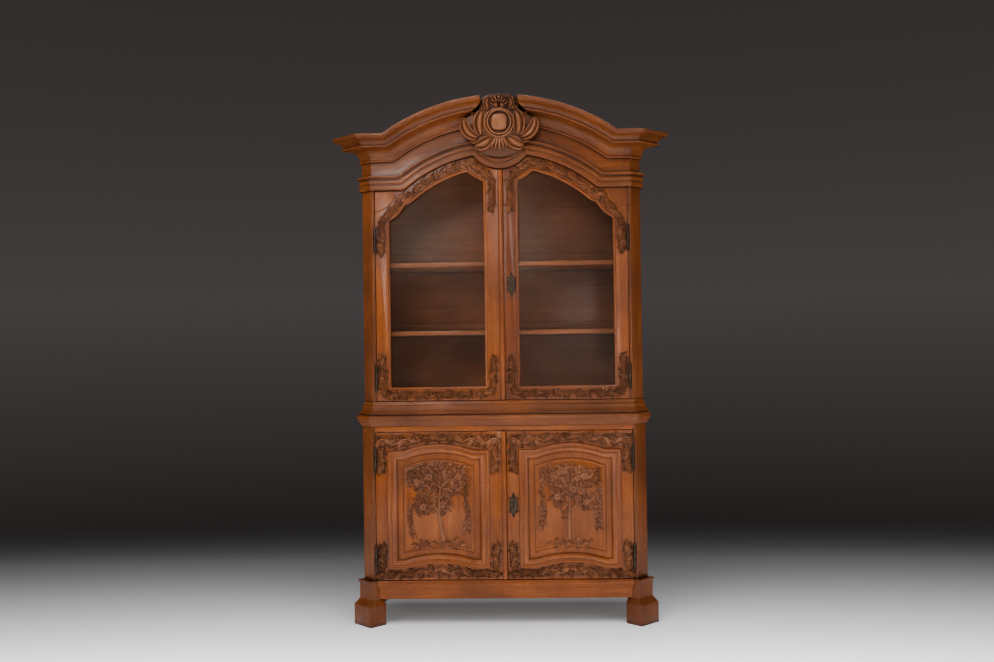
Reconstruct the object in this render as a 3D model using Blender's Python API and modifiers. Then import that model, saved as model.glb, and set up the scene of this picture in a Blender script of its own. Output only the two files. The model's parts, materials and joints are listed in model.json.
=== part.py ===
"""Glazed hutch: a two-part hardwood display cabinet with an arched, carved cornice.

Units are metres, +Z is up and the front faces -Y. The origin is on the floor, in the middle of the
cabinet's overall width and depth. "Proud" is a distance forward of a case's front plane.
"""
import math

import bmesh
import bpy
from mathutils import Matrix, Vector

# Fits between pieces
SEAT = 0.0003
DOOR_GAP = 0.003
MEETING_GAP = 0.002

# Plan of the two cases
BASE_HALF_W = 0.648
BASE_DEPTH = 0.500
UPPER_HALF_W = 0.640
UPPER_DEPTH = 0.480
CANT = 0.0487
SIDE_T = 0.022
BACK_T = 0.014
POST_DEPTH = 0.070
POST_FACE = 0.0135
DOOR_STOP = 0.016
HOUSING = 0.006
BOARD_T = 0.018
RAIL_T = 0.030
SIDE_PANEL_INSET = 0.060
SIDE_PANEL_SINK = 0.006

# Heights of the base
RAIL_BOTTOM = 0.118
RAIL_H = 0.0836
RAIL_PROUD = 0.008
LOWER_OPENING_H = 0.6749
TOP_RAIL_H = 0.024
BED_MOULD_H = 0.027
BED_MOULD_PROUD = 0.018
SLAB_T = 0.023
SLAB_PROUD = 0.024
BASE_SHELF_RISE = 0.330
BACK_POST_W = 0.048
BACK_POST_T = 0.045

# Front feet, square to the canted corner
FOOT_W = 0.123
FOOT_DEPTH = 0.087
FOOT_PROUD = 0.042
FOOT_BLOCK_H = 0.092
NECK_W = 0.095
NECK_PROUD = 0.020
NECK_CAP_H = 0.014
NECK_CAP_LIP = 0.005
FOOT_SHIFT = -0.005

# Heights of the upper case
PLINTH_H = 0.061
PLINTH_T = 0.045
PLINTH_PROUD = 0.024
UPPER_OPENING_H = 0.965
SHELF_T = 0.020
SHELF_RISES = (0.321, 0.638)
ROOF_RISE = 0.173

# Arched head: shoulder, rise and the round lobe in its middle
HEAD_SHOULDER = 0.150
ARCH_RISE = 0.164
LOBE_R = 0.153
LOBE_CENTRE_RISE = 0.081
ARCHITRAVE_H = 0.066
ARCHITRAVE_PROUD = 0.022
FRIEZE_H = 0.064
CROWN_H = 0.1105
CROWN_PROUD = 0.125
RETURN_PROUD = 0.038
EAR_L = 0.035
ENTABLATURE_T = 0.022
ARC_STEPS = 10
LOBE_STEPS = 8

# Doors
DOOR_T = 0.026
UPPER_STILE_W = 0.0637
UPPER_BOTTOM_RAIL_H = 0.061
HEAD_BAND = 0.063
LOBE_BAND = 0.068
LEDGE_BAND = 0.1513
LEDGE_INSET = 0.160
LEDGE_TURN = math.radians(24.4)
GLASS_T = 0.003
REBATE_W = 0.008
REBATE_SINK = 0.012
BEAD_HALF_W = 0.0115
BEAD_PROUD = 0.008
LOWER_STILE_W = 0.069
PANEL_RAIL_LOW = 0.063
PANEL_RAIL_HIGH = 0.0985
PANEL_EAR = 0.060
PANEL_RISE_HIGH = 0.030
PANEL_RISE_LOW = 0.026
PANEL_BOW_SHARE = 0.97
PANEL_TONGUE = 0.008
PANEL_TONGUE_T = 0.006
PANEL_TONGUE_SINK = 0.012
PANEL_BORDER = 0.054
PANEL_BEVEL = 0.005
PANEL_BORDER_SINK = 0.008
PANEL_FIELD_SINK = 0.003
MOULD_W = 0.014
MOULD_LIP = 0.003
MOULD_PROUD = 0.005

# Barrel hinges
BARREL_R = 0.00525
BARREL_L = 0.0515
PIN_R = 0.0025
PIN_CLEARANCE = 0.0002
PIN_L = 0.036
FINIAL_H = 0.010
HINGE_PROUD = 0.006
LEAF_T = 0.0012
LEAF_DEPTH = 0.020
LEAF_END = 0.004
HINGE_SIDES = 12
UPPER_HINGE_FROM_BOTTOM = 0.105
UPPER_HINGE_FROM_HEAD = 0.229
LOWER_HINGE_FROM_BOTTOM = 0.098
LOWER_HINGE_FROM_TOP = 0.121

# Locks
CASE_W = 0.030
CASE_H = 0.090
CASE_T = 0.012
CASE_FROM_EDGE = 0.008
BOLT_L = 0.032
BOLT_H = 0.016
BOLT_T = 0.006
BOLT_THROW = 0.012
BOLT_BACK = 0.001
ESCUTCHEON_H = 0.096
ESCUTCHEON_SHARE = 0.86
ESCUTCHEON_T = 0.0025
KEYHOLE_R = 0.0045
KEYHOLE_SLOT = 0.013
UPPER_LOCK_RISE = 0.525
LOWER_LOCK_RISE = 0.335

# Crest, measured from the middle of its oval boss
CREST_RISE = 0.128
CREST_HALF_W = 0.165
CREST_TOP = 0.130
CREST_BOTTOM = 0.134
CREST_LEAN = 0.19
CREST_FACE_PROUD = 0.064
CREST_SWELL = 0.022
CREST_NOTCH_HALF_W = 0.084
CREST_NOTCH_SINK = 0.036

OVERALL_DEPTH = UPPER_DEPTH + CROWN_PROUD
BACK_Y = OVERALL_DEPTH / 2
MITRE = math.tan(math.radians(22.5))
BORE_R = PIN_R + PIN_CLEARANCE

# Heights that follow from the sizes above
RAIL_TOP = RAIL_BOTTOM + RAIL_H
TOP_RAIL_Z = RAIL_TOP + LOWER_OPENING_H
BASE_CASE_TOP = TOP_RAIL_Z + TOP_RAIL_H
BASE_TOP_Z = BASE_CASE_TOP + SEAT + BED_MOULD_H + SLAB_T
PLINTH_Z = BASE_TOP_Z + SEAT
PLINTH_TOP = PLINTH_Z + PLINTH_H
HEAD_Z = PLINTH_TOP + UPPER_OPENING_H
ROOF_Z = HEAD_Z + ROOF_RISE


class Case:
    """Plan of the base or the upper case: front plane, canted corners and the lines that follow."""

    def __init__(self, half_w, depth):
        self.half_w = half_w
        self.front = BACK_Y - depth
        self.flat = half_w - CANT
        self.post_inner = self.flat - POST_FACE
        self.door_outer = self.post_inner - DOOR_GAP
        self.side_inner = half_w - SIDE_T
        self.post_back = self.front + POST_DEPTH
        self.hinge_x = self.post_inner - DOOR_GAP / 2
        self.hinge_y = self.front - HINGE_PROUD

    def path(self):
        """Corners of the case in plan, from the left rear round the front to the right rear."""
        half = [(self.half_w, BACK_Y), (self.half_w, self.front + CANT), (self.flat, self.front)]
        left = [(-x, y) for x, y in half]
        return left + half[::-1]


BASE = Case(BASE_HALF_W, BASE_DEPTH)
UPPER = Case(UPPER_HALF_W, UPPER_DEPTH)

ARCH_HALF = UPPER.flat - HEAD_SHOULDER
HEAD_R = (ARCH_HALF ** 2 + ARCH_RISE ** 2) / (2 * ARCH_RISE)
ARCH_Z = HEAD_Z + ARCH_RISE - HEAD_R
LOBE_Z = HEAD_Z + ARCH_RISE + LOBE_CENTRE_RISE
CREST_Z = HEAD_Z + ARCH_RISE + CREST_RISE

for old in list(bpy.data.objects):
    bpy.data.objects.remove(old, do_unlink=True)


def new_collection(name):
    collection = bpy.data.collections.new(name)
    bpy.context.scene.collection.children.link(collection)
    return collection


PARTS = new_collection("glazed_hutch")
CUTTERS = new_collection("cutters")

# Colour, roughness and metallic value of each finish
FINISHES = {
    "oak": ((0.23, 0.085, 0.026), 0.42, 0.0),
    "oak_inside": ((0.13, 0.055, 0.02), 0.6, 0.0),
    "glass": ((0.8, 0.82, 0.8), 0.05, 0.0),
    "iron": ((0.05, 0.042, 0.035), 0.5, 0.9),
}


def material_for(name, finish):
    colour, roughness, metallic = FINISHES[finish]
    material = bpy.data.materials.new(f"{name}_{finish}")
    material.use_nodes = True
    shader = material.node_tree.nodes["Principled BSDF"]
    shader.inputs["Base Color"].default_value = (*colour, 1.0)
    shader.inputs["Roughness"].default_value = roughness
    shader.inputs["Metallic"].default_value = metallic
    if finish == "glass":
        shader.inputs["Alpha"].default_value = 0.35
    material.diffuse_color = (*colour, 1.0)
    return material


def add_part(name, mesh, matrix, finish, carrier=None):
    """Link a finished mesh as a named piece; a moving piece hangs from the empty on its joint axis."""
    part = bpy.data.objects.new(name, mesh)
    part.matrix_world = matrix
    PARTS.objects.link(part)
    mesh.materials.append(material_for(name, finish))
    if carrier:
        bpy.context.view_layer.update()
        part.parent = carrier
        part.matrix_parent_inverse = carrier.matrix_world.inverted()
    return part


def add_cutter(name, mesh, matrix):
    cutter = bpy.data.objects.new(name, mesh)
    cutter.matrix_world = matrix
    cutter.hide_render = True
    cutter.display_type = "WIRE"
    CUTTERS.objects.link(cutter)
    return cutter


def combine(part, other, operation):
    modifier = part.modifiers.new(f"{operation.lower()} {other.name}", "BOOLEAN")
    modifier.operation = operation
    modifier.object = other
    modifier.solver = "EXACT"


def joint_empty(name, place, carrier=None):
    empty = bpy.data.objects.new(name, None)
    empty.location = place
    empty.empty_display_size = 0.05
    PARTS.objects.link(empty)
    if carrier:
        bpy.context.view_layer.update()
        empty.parent = carrier
        empty.matrix_parent_inverse = carrier.matrix_world.inverted()
    bpy.context.view_layer.update()
    return empty


def box_mesh(name, low, high):
    """Mesh of a box about its own centre, and the matrix that puts it between two corners."""
    low = Vector(low)
    high = Vector(high)
    size = high - low
    bm = bmesh.new()
    bmesh.ops.create_cube(bm, size=1.0)
    bmesh.ops.scale(bm, vec=size, verts=bm.verts)
    mesh = bpy.data.meshes.new(name)
    bm.to_mesh(mesh)
    bm.free()
    return mesh, Matrix.Translation((low + high) / 2)


def flat_mesh(name, outlines, thickness):
    """Mesh of a flat outline, with further outlines as its holes, centred on its thickness."""
    curve = bpy.data.curves.new(name, "CURVE")
    curve.dimensions = "2D"
    curve.fill_mode = "BOTH"
    curve.extrude = thickness / 2
    for outline in outlines:
        spline = curve.splines.new("POLY")
        spline.points.add(len(outline) - 1)
        for point, (across, along) in zip(spline.points, outline):
            point.co = (across, along, 0, 1)
        spline.use_cyclic_u = True
    drawn = bpy.data.objects.new(name, curve)
    bpy.context.scene.collection.objects.link(drawn)
    graph = bpy.context.evaluated_depsgraph_get()
    mesh = bpy.data.meshes.new_from_object(drawn.evaluated_get(graph))
    bpy.data.objects.remove(drawn, do_unlink=True)
    bm = bmesh.new()
    bm.from_mesh(mesh)
    bmesh.ops.remove_doubles(bm, verts=bm.verts, dist=0.00001)
    bmesh.ops.recalc_face_normals(bm, faces=bm.faces)
    bm.to_mesh(mesh)
    bm.free()
    return mesh


def upright(front, back_proud, front_proud):
    """Matrix that stands a flat outline up, between two depths ahead of a front plane."""
    middle = front - (back_proud + front_proud) / 2
    return Matrix.Translation((0, middle, 0)) @ Matrix.Rotation(math.pi / 2, 4, "X")


def loft_mesh(name, rings):
    """Closed skin through rings of equally many points, capped at both ends."""
    bm = bmesh.new()
    made = [[bm.verts.new(point) for point in ring] for ring in rings]
    count = len(rings[0])
    for low, high in zip(made, made[1:]):
        for i in range(count):
            j = (i + 1) % count
            bm.faces.new((low[i], low[j], high[j], high[i]))
    bm.faces.new(made[0][::-1])
    bm.faces.new(made[-1])
    bmesh.ops.recalc_face_normals(bm, faces=bm.faces)
    mesh = bpy.data.meshes.new(name)
    bm.to_mesh(mesh)
    bm.free()
    return mesh


def turned_mesh(name, profile):
    """Mesh edges of a profile (radius, height), listed down its outer side, for a Screw modifier."""
    bm = bmesh.new()
    points = [bm.verts.new((radius, 0, height)) for radius, height in profile]
    for upper, lower in zip(points, points[1:]):
        bm.edges.new((upper, lower))
    mesh = bpy.data.meshes.new(name)
    bm.to_mesh(mesh)
    bm.free()
    return mesh


def add_box(name, low, high, finish, carrier=None):
    mesh, matrix = box_mesh(name, low, high)
    return add_part(name, mesh, matrix, finish, carrier)


def cut_box(part, name, low, high):
    mesh, matrix = box_mesh(name, low, high)
    combine(part, add_cutter(name, mesh, matrix), "DIFFERENCE")


def add_board(name, outline, bottom, thickness, finish):
    """A horizontal board from its outline in plan."""
    matrix = Matrix.Translation((0, 0, bottom + thickness / 2))
    return add_part(name, flat_mesh(name, [outline], thickness), matrix, finish)


def mirrored(half):
    """Whole outline from its right half, listed from the middle line outwards."""
    return half + [(-x, y) for x, y in half[::-1]]


def arc(centre, radius, start, end, steps):
    return [
        (
            centre[0] + radius * math.cos(start + (end - start) * i / steps),
            centre[1] + radius * math.sin(start + (end - start) * i / steps),
        )
        for i in range(steps + 1)
    ]


def cusp(arch_r, lobe_r):
    """Where an arch about the arch centre meets a lobe about the lobe centre, on the right."""
    rise = LOBE_Z - ARCH_Z
    up = (arch_r ** 2 - lobe_r ** 2 + rise ** 2) / (2 * rise)
    return math.sqrt(arch_r ** 2 - up ** 2), ARCH_Z + up


def offset_at(path, index):
    """Sideways step of a mitred moulding at a corner of its path, per unit of projection."""
    normals = []
    for a, b in ((index - 1, index), (index, index + 1)):
        if a >= 0 and b < len(path):
            run = Vector(path[b]) - Vector(path[a])
            run.normalize()
            normals.append(Vector((run.y, -run.x)))
    if len(normals) == 1:
        return normals[0]
    return (normals[0] + normals[1]) / (1 + normals[0].dot(normals[1]))


def plan_levels(profile, path, base_z):
    """The path in plan at each point of a moulding's profile, given as (proud, height)."""
    steps = [offset_at(path, index) for index in range(len(path))]
    return [
        [(x + p * step.x, y + p * step.y, base_z + h) for (x, y), step in zip(path, steps)]
        for p, h in profile
    ]


def quarter(centre, across, up, start, end, steps):
    """Points of a quarter round or hollow of a moulding's profile, angles in degrees."""
    points = []
    for i in range(steps + 1):
        turn = math.radians(start + (end - start) * i / steps)
        points.append((centre[0] + across * math.cos(turn), centre[1] + up * math.sin(turn)))
    return points


def scaled(shares, proud, height):
    return [(p * proud, h * height) for p, h in shares]


# Faces of the mouldings from the bottom up, as (proud, height): shares of their whole sizes
ARCHITRAVE = scaled(
    [(0.4, 0), (0.54, 0.03), (0.58, 0.1), (0.5, 0.34), (0.42, 0.36), (0.42, 0.42), (0.66, 0.46), (0.7, 0.53)]
    + [(0.6, 0.7), (0.4, 0.73), (0.38, 0.79), (0.46, 0.84), (0.88, 0.85), (1, 0.89), (1, 0.96), (0.88, 1)],
    ARCHITRAVE_PROUD, ARCHITRAVE_H,
)
CROWN = scaled(
    [(0.08, 0), (0.1, 0.045), (0.08, 0.09), (0.06, 0.1)]
    + quarter((0.46, 0.1), -0.4, 0.4, 0, 90, 4)[1:]
    + [(0.66, 0.5), (0.7, 0.545), (0.68, 0.59), (0.64, 0.605), (0.66, 0.67), (0.72, 0.745), (0.82, 0.8)]
    + [(0.93, 0.825), (0.93, 0.86), (0.97, 0.875), (1, 0.93), (1, 1)],
    CROWN_PROUD, CROWN_H,
)
PLINTH = scaled(
    [(1, 0), (1, 0.164), (0.75, 0.23), (0.5, 0.393), (0.42, 0.426), (0.42, 0.69), (0.17, 0.74), (0.17, 1)],
    PLINTH_PROUD, PLINTH_H,
)
BOTTOM_RAIL = scaled(
    [(0, 0), (0, 0.55), (0.5, 0.6), (0.5, 0.69), (1, 0.74), (1, 0.84), (0.375, 1)], RAIL_PROUD, RAIL_H,
)
BED_MOULD = scaled([(0.22, 0), (0.33, 0.22), (0.89, 0.67), (1, 0.81), (1, 1)], BED_MOULD_PROUD, BED_MOULD_H)
SLAB = scaled([(0.875, 0), (1, 0.174), (1, 0.74), (0.79, 1)], SLAB_PROUD, SLAB_T)


def raised(profile, rise):
    return [(p, h + rise) for p, h in profile]


def backed(profile, thickness):
    """Close a moulding's face with a flat back, a thickness behind the front plane."""
    low = profile[0][1]
    high = profile[-1][1]
    return [(-thickness, low)] + profile + [(-thickness, high)]


def build_foot(name, side):
    """Block foot: a square block, a sloping shoulder and a neck that carries the post."""
    cap_z = RAIL_TOP - NECK_CAP_H
    cap_proud = NECK_PROUD + NECK_CAP_LIP
    cap_outer = NECK_W / 2 + NECK_CAP_LIP
    levels = [
        (0.0, FOOT_W / 2, FOOT_W / 2, FOOT_PROUD), (FOOT_BLOCK_H, FOOT_W / 2, FOOT_W / 2, FOOT_PROUD),
        (RAIL_BOTTOM, NECK_W / 2, NECK_W / 2, NECK_PROUD),
        (cap_z, NECK_W / 2, NECK_W / 2, NECK_PROUD),
        (cap_z + NECK_CAP_H / 2, NECK_W / 2, cap_outer, cap_proud),
        (RAIL_TOP, NECK_W / 2, cap_outer, cap_proud),
    ]
    middle = Vector((BASE.half_w - CANT / 2, BASE.front + CANT / 2))
    outward = Vector((1, -1)).normalized()
    along = Vector((1, 1)).normalized()
    back = FOOT_PROUD - FOOT_DEPTH
    rings = []
    for z, inner, outer, proud in levels:
        ring = []
        for t, d in ((-inner, proud), (outer, proud), (outer, back), (-inner, back)):
            place = middle + outward * d + along * (FOOT_SHIFT + t)
            ring.append((side * place.x, place.y, z))
        rings.append(ring)
    foot = add_part(name, loft_mesh(name, rings), Matrix.Identity(4), "oak")
    reach = BASE.half_w + FOOT_W
    cut_box(
        foot, f"{name}_side_cut", (-reach, BASE.post_back, RAIL_BOTTOM - SEAT),
        (reach, BASE.post_back + FOOT_W, RAIL_TOP + FOOT_W),
    )


def neck_inner_x(proud):
    """Where the inner face of the right foot's neck lies, at a depth ahead of the base's front plane."""
    return BASE.half_w - (NECK_W / 2 - FOOT_SHIFT) * math.sqrt(2) + proud


def build_posts(case, prefix, bottom, top):
    """Canted corner post with a rebate that the door closes into."""
    stop_y = case.front + DOOR_T + SEAT * 4
    half = [
        (case.post_inner, case.front), (case.flat, case.front), (case.half_w, case.front + CANT),
        (case.half_w, case.post_back), (case.post_inner - DOOR_STOP, case.post_back),
        (case.post_inner - DOOR_STOP, stop_y), (case.post_inner, stop_y),
    ]
    for word, side in (("left", -1), ("right", 1)):
        outline = [(side * x, y) for x, y in half]
        add_board(f"{prefix}_corner_post_{word}", outline, bottom, top - bottom, "oak")


def build_sides(case, prefix, bottom, top, rear):
    """Side boards with a sunk panel outside and housings for the boards inside."""
    made = []
    for word, side in (("left", -1), ("right", 1)):
        name = f"{prefix}_side_{word}"
        near = case.post_back + SEAT
        ends = sorted((side * case.side_inner, side * case.half_w))
        part = add_box(name, (ends[0], near, bottom), (ends[1], rear, top), "oak")
        sunk = sorted((side * (case.half_w - SIDE_PANEL_SINK), side * (case.half_w + SIDE_PANEL_SINK)))
        cut_box(
            part, f"{name}_panel_cut",
            (sunk[0], near + SIDE_PANEL_INSET, bottom + SIDE_PANEL_INSET),
            (sunk[1], rear - SIDE_PANEL_INSET, top - SIDE_PANEL_INSET),
        )
        made.append((part, side))
    return made


def cut_housings(sides, inner_x, bottom, thickness, near):
    """Grooves across the sides' inner faces for a board."""
    for part, side in sides:
        ends = sorted((side * (inner_x - HOUSING), side * (inner_x + HOUSING)))
        cut_box(
            part, f"{part.name}_housing_{round(bottom * 1000)}",
            (ends[0], near, bottom - SEAT), (ends[1], BACK_Y + HOUSING, bottom + thickness + SEAT),
        )


def build_base():
    for word, side in (("left", -1), ("right", 1)):
        build_foot(f"foot_front_{word}", side)
        ends = sorted((side * (BASE.half_w - BACK_POST_W), side * BASE.half_w))
        add_box(
            f"base_back_post_{word}",
            (ends[0], BACK_Y - BACK_POST_T, 0), (ends[1], BACK_Y, BASE_CASE_TOP), "oak",
        )
    build_posts(BASE, "base", RAIL_TOP + SEAT, BASE_CASE_TOP)
    post_front = BACK_Y - BACK_POST_T - SEAT
    sides = build_sides(BASE, "base", RAIL_BOTTOM, BASE_CASE_TOP, post_front)
    back_half = BASE.half_w - BACK_POST_W - SEAT
    add_box(
        "base_back", (-back_half, BACK_Y - BACK_T, RAIL_BOTTOM), (back_half, BACK_Y, BASE_CASE_TOP),
        "oak_inside",
    )

    # The bottom rail runs between the necks of the feet, whose faces stand at 45 degrees
    rings = []
    for side in (-1, 1):
        ring = []
        for p, h in backed(BOTTOM_RAIL, RAIL_T):
            reach = neck_inner_x(p) - SEAT * 2
            ring.append((side * reach, BASE.front - p, RAIL_BOTTOM + h))
        rings.append(ring)
    add_part("base_bottom_rail", loft_mesh("base_bottom_rail", rings), Matrix.Identity(4), "oak")

    rail_half = BASE.post_inner - SEAT
    add_box(
        "base_top_rail", (-rail_half, BASE.front, TOP_RAIL_Z),
        (rail_half, BASE.front + DOOR_T, BASE_CASE_TOP), "oak",
    )

    # Floor and shelf lie in the sides' housings and clear the rear posts
    reach = BASE.side_inner + HOUSING - SEAT
    rear = [
        (reach, post_front - SEAT), (back_half, post_front - SEAT), (back_half, BACK_Y - BACK_T - SEAT),
    ]
    floor_z = RAIL_TOP - BOARD_T
    floor_y = BASE.front + RAIL_T + SEAT
    neck_back = BASE.front + CANT - math.sqrt(2) * (FOOT_PROUD - FOOT_DEPTH) + SEAT * 2
    floor_half = BASE.half_w - (neck_back - floor_y)
    slope_y = floor_y + reach - floor_half
    floor = [(floor_half, floor_y), (reach, slope_y)] + rear
    add_board("base_floor", mirrored(floor), floor_z, BOARD_T, "oak_inside")
    cut_housings(sides, BASE.side_inner, floor_z, BOARD_T, BASE.post_back)
    shelf_z = RAIL_TOP + BASE_SHELF_RISE
    shelf = [(reach, BASE.post_back + SEAT * 4)] + rear
    add_board("base_shelf", mirrored(shelf), shelf_z, SHELF_T, "oak_inside")
    cut_housings(sides, BASE.side_inner, shelf_z, SHELF_T, BASE.post_back)

    # Moulded top: each level is the case's plan, stepped outwards
    levels = plan_levels(BED_MOULD + raised(SLAB, BED_MOULD_H), BASE.path(), BASE_CASE_TOP + SEAT)
    add_part("base_top", loft_mesh("base_top", levels), Matrix.Identity(4), "oak")


def arch_point(r0, z0, rise, share):
    """Point of the arched head's right half, raised by rise; share 0 is the shoulder, 1 the apex."""
    radius = r0 + rise
    start = math.asin((z0 + rise - ARCH_Z) / radius)
    turn = start + (math.pi / 2 - start) * share
    return radius * math.cos(turn), ARCH_Z + radius * math.sin(turn)


def head_line(rise):
    """Right half of the head's line with its lobe, raised by rise: shoulder to the middle."""
    arch_r = HEAD_R + rise
    lobe_r = LOBE_R - rise
    tip = cusp(arch_r, lobe_r)
    start = math.asin((HEAD_Z + rise - ARCH_Z) / arch_r)
    end = math.atan2(tip[1] - ARCH_Z, tip[0])
    line = arc((0, ARCH_Z), arch_r, start, end, ARC_STEPS)
    turn = math.atan2(tip[1] - LOBE_Z, tip[0])
    return line + arc((0, LOBE_Z), lobe_r, turn, -math.pi / 2, LOBE_STEPS)[1:]


def crown_line(rise):
    """Right half of the arch without its lobe, raised by rise: shoulder to the apex."""
    steps = ARC_STEPS + LOBE_STEPS
    return [arch_point(HEAD_R, HEAD_Z, rise, i / steps) for i in range(steps + 1)]


def front_rings(profile, line_for):
    """Rings of an arched moulding across the front, with mitred ends at the canted corners."""
    lines = [line_for(h) for p, h in profile]
    count = len(lines[0])
    right = []
    end = [
        (UPPER.flat + p * MITRE - SEAT, UPPER.front - p, HEAD_Z + h) for p, h in profile
    ]
    right.append(end)
    for i in range(count):
        right.append([
            (line[i][0], UPPER.front - p, line[i][1]) for line, (p, h) in zip(lines, profile)
        ])
    left = [[(-x, y, z) for x, y, z in ring] for ring in right]
    return left[:-1] + right[::-1]


def build_entablature():
    frieze_low = ARCHITRAVE_H
    frieze_high = ARCHITRAVE_H + FRIEZE_H

    profile = backed(raised(ARCHITRAVE, SEAT), ENTABLATURE_T)
    rings = front_rings(profile, head_line)
    add_part("architrave", loft_mesh("architrave", rings), Matrix.Identity(4), "oak")

    profile = backed(raised(CROWN, frieze_high + SEAT), ENTABLATURE_T)
    rings = front_rings(profile, crown_line)
    crown = add_part("cornice_arch", loft_mesh("cornice_arch", rings), Matrix.Identity(4), "oak")

    # The notch for the crest: its whole outline down to the front plane, and the top cut lower
    apex = HEAD_Z + ARCH_RISE + frieze_high + CROWN_H
    wide = CREST_NOTCH_HALF_W * 2
    notch = mirrored([
        (wide, CREST_Z - CREST_TOP * 0.46), (wide, CREST_Z + CREST_TOP * 0.04),
        (CREST_NOTCH_HALF_W, CREST_Z + CREST_TOP * 0.65), (CREST_NOTCH_HALF_W, apex + CROWN_H),
    ])
    deep = CROWN_PROUD * 1.5
    mesh = flat_mesh("crest_notch", [notch], deep)
    combine(crown, add_cutter("crest_notch", mesh, upright(UPPER.front, 0, deep)), "DIFFERENCE")
    cut_box(
        crown, "crest_top_notch",
        (-CREST_NOTCH_HALF_W, UPPER.front - CROWN_PROUD, apex - CREST_NOTCH_SINK),
        (CREST_NOTCH_HALF_W, UPPER.front + ENTABLATURE_T * 2, apex + CROWN_H),
    )

    # Frieze board, a plain field between the two mouldings, mitred like them
    low_half = head_line(frieze_low + SEAT * 2)
    high_half = crown_line(frieze_high)
    end = UPPER.flat - SEAT
    low_half = [(end, low_half[0][1])] + low_half
    high_half = [(end, high_half[0][1])] + high_half
    outline = [(-x, z) for x, z in low_half] + low_half[-2::-1]
    outline += high_half + [(-x, z) for x, z in high_half[-2::-1]]
    mesh = flat_mesh("frieze_board", [outline], ENTABLATURE_T)
    for vertex in mesh.vertices:
        if vertex.co.z < 0 and abs(vertex.co.x) > end - SEAT:
            vertex.co.x -= math.copysign(ENTABLATURE_T * MITRE, vertex.co.x)
    add_part("frieze_board", mesh, upright(UPPER.front, -ENTABLATURE_T, 0), "oak")

    # Returns: architrave, frieze and cornice in one length, round the cant and along the side.
    # The cornice juts out over the cant like an ear and steps back to a slimmer moulding behind it.
    face = raised(ARCHITRAVE, SEAT) + [(0.0, ARCHITRAVE_H + SEAT), (0.0, frieze_high + SEAT)]
    face += raised(CROWN, frieze_high + SEAT)
    profile = backed(face, ENTABLATURE_T)
    path = UPPER.path()
    slim = RETURN_PROUD / CROWN_PROUD
    side_step = offset_at(path, 0)
    behind_ear = (path[1][0], path[1][1] + EAR_L)
    trim = SEAT * math.sqrt(0.5)
    mitred_end = (path[2][0] - trim, path[2][1] + trim)
    stations = [(path[0], side_step, slim), (behind_ear, side_step, slim)]
    stations += [(path[1], offset_at(path, 1), 1), (mitred_end, offset_at(path, 2), 1)]
    rings = []
    for (x, y), step, share in stations:
        reach = [p * share if p > 0 and h > frieze_high else p for p, h in profile]
        rings.append([(x + r * step.x, y + r * step.y, HEAD_Z + h) for r, (p, h) in zip(reach, profile)])
    returns = []
    for word, side in (("left", -1), ("right", 1)):
        name = f"cornice_return_{word}"
        placed = [[(-side * x, y, z) for x, y, z in ring] for ring in rings]
        returns.append((add_part(name, loft_mesh(name, placed), Matrix.Identity(4), "oak"), side))
    inner = UPPER.half_w - ENTABLATURE_T
    roof_y = UPPER.front + ENTABLATURE_T + SEAT
    corner = UPPER.front + CANT + ENTABLATURE_T
    cut_housings(returns, inner, ROOF_Z, BOARD_T, corner)
    reach = inner + HOUSING - SEAT
    roof = [
        (UPPER.flat - ENTABLATURE_T, roof_y), (inner - SEAT * 2, corner + SEAT), (reach, corner + SEAT),
        (reach, BACK_Y),
    ]
    add_board("upper_roof", mirrored(roof), ROOF_Z, BOARD_T, "oak_inside")


def squashed_ball(name, place, radii, turn):
    """A round swelling of the carving: a ball stretched to three half-sizes and turned about Y."""
    bm = bmesh.new()
    bmesh.ops.create_uvsphere(bm, u_segments=14, v_segments=8, radius=1.0)
    bmesh.ops.scale(bm, vec=radii, verts=bm.verts)
    mesh = bpy.data.meshes.new(name)
    bm.to_mesh(mesh)
    bm.free()
    return mesh, Matrix.Translation(place) @ Matrix.Rotation(turn, 4, "Y")


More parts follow.
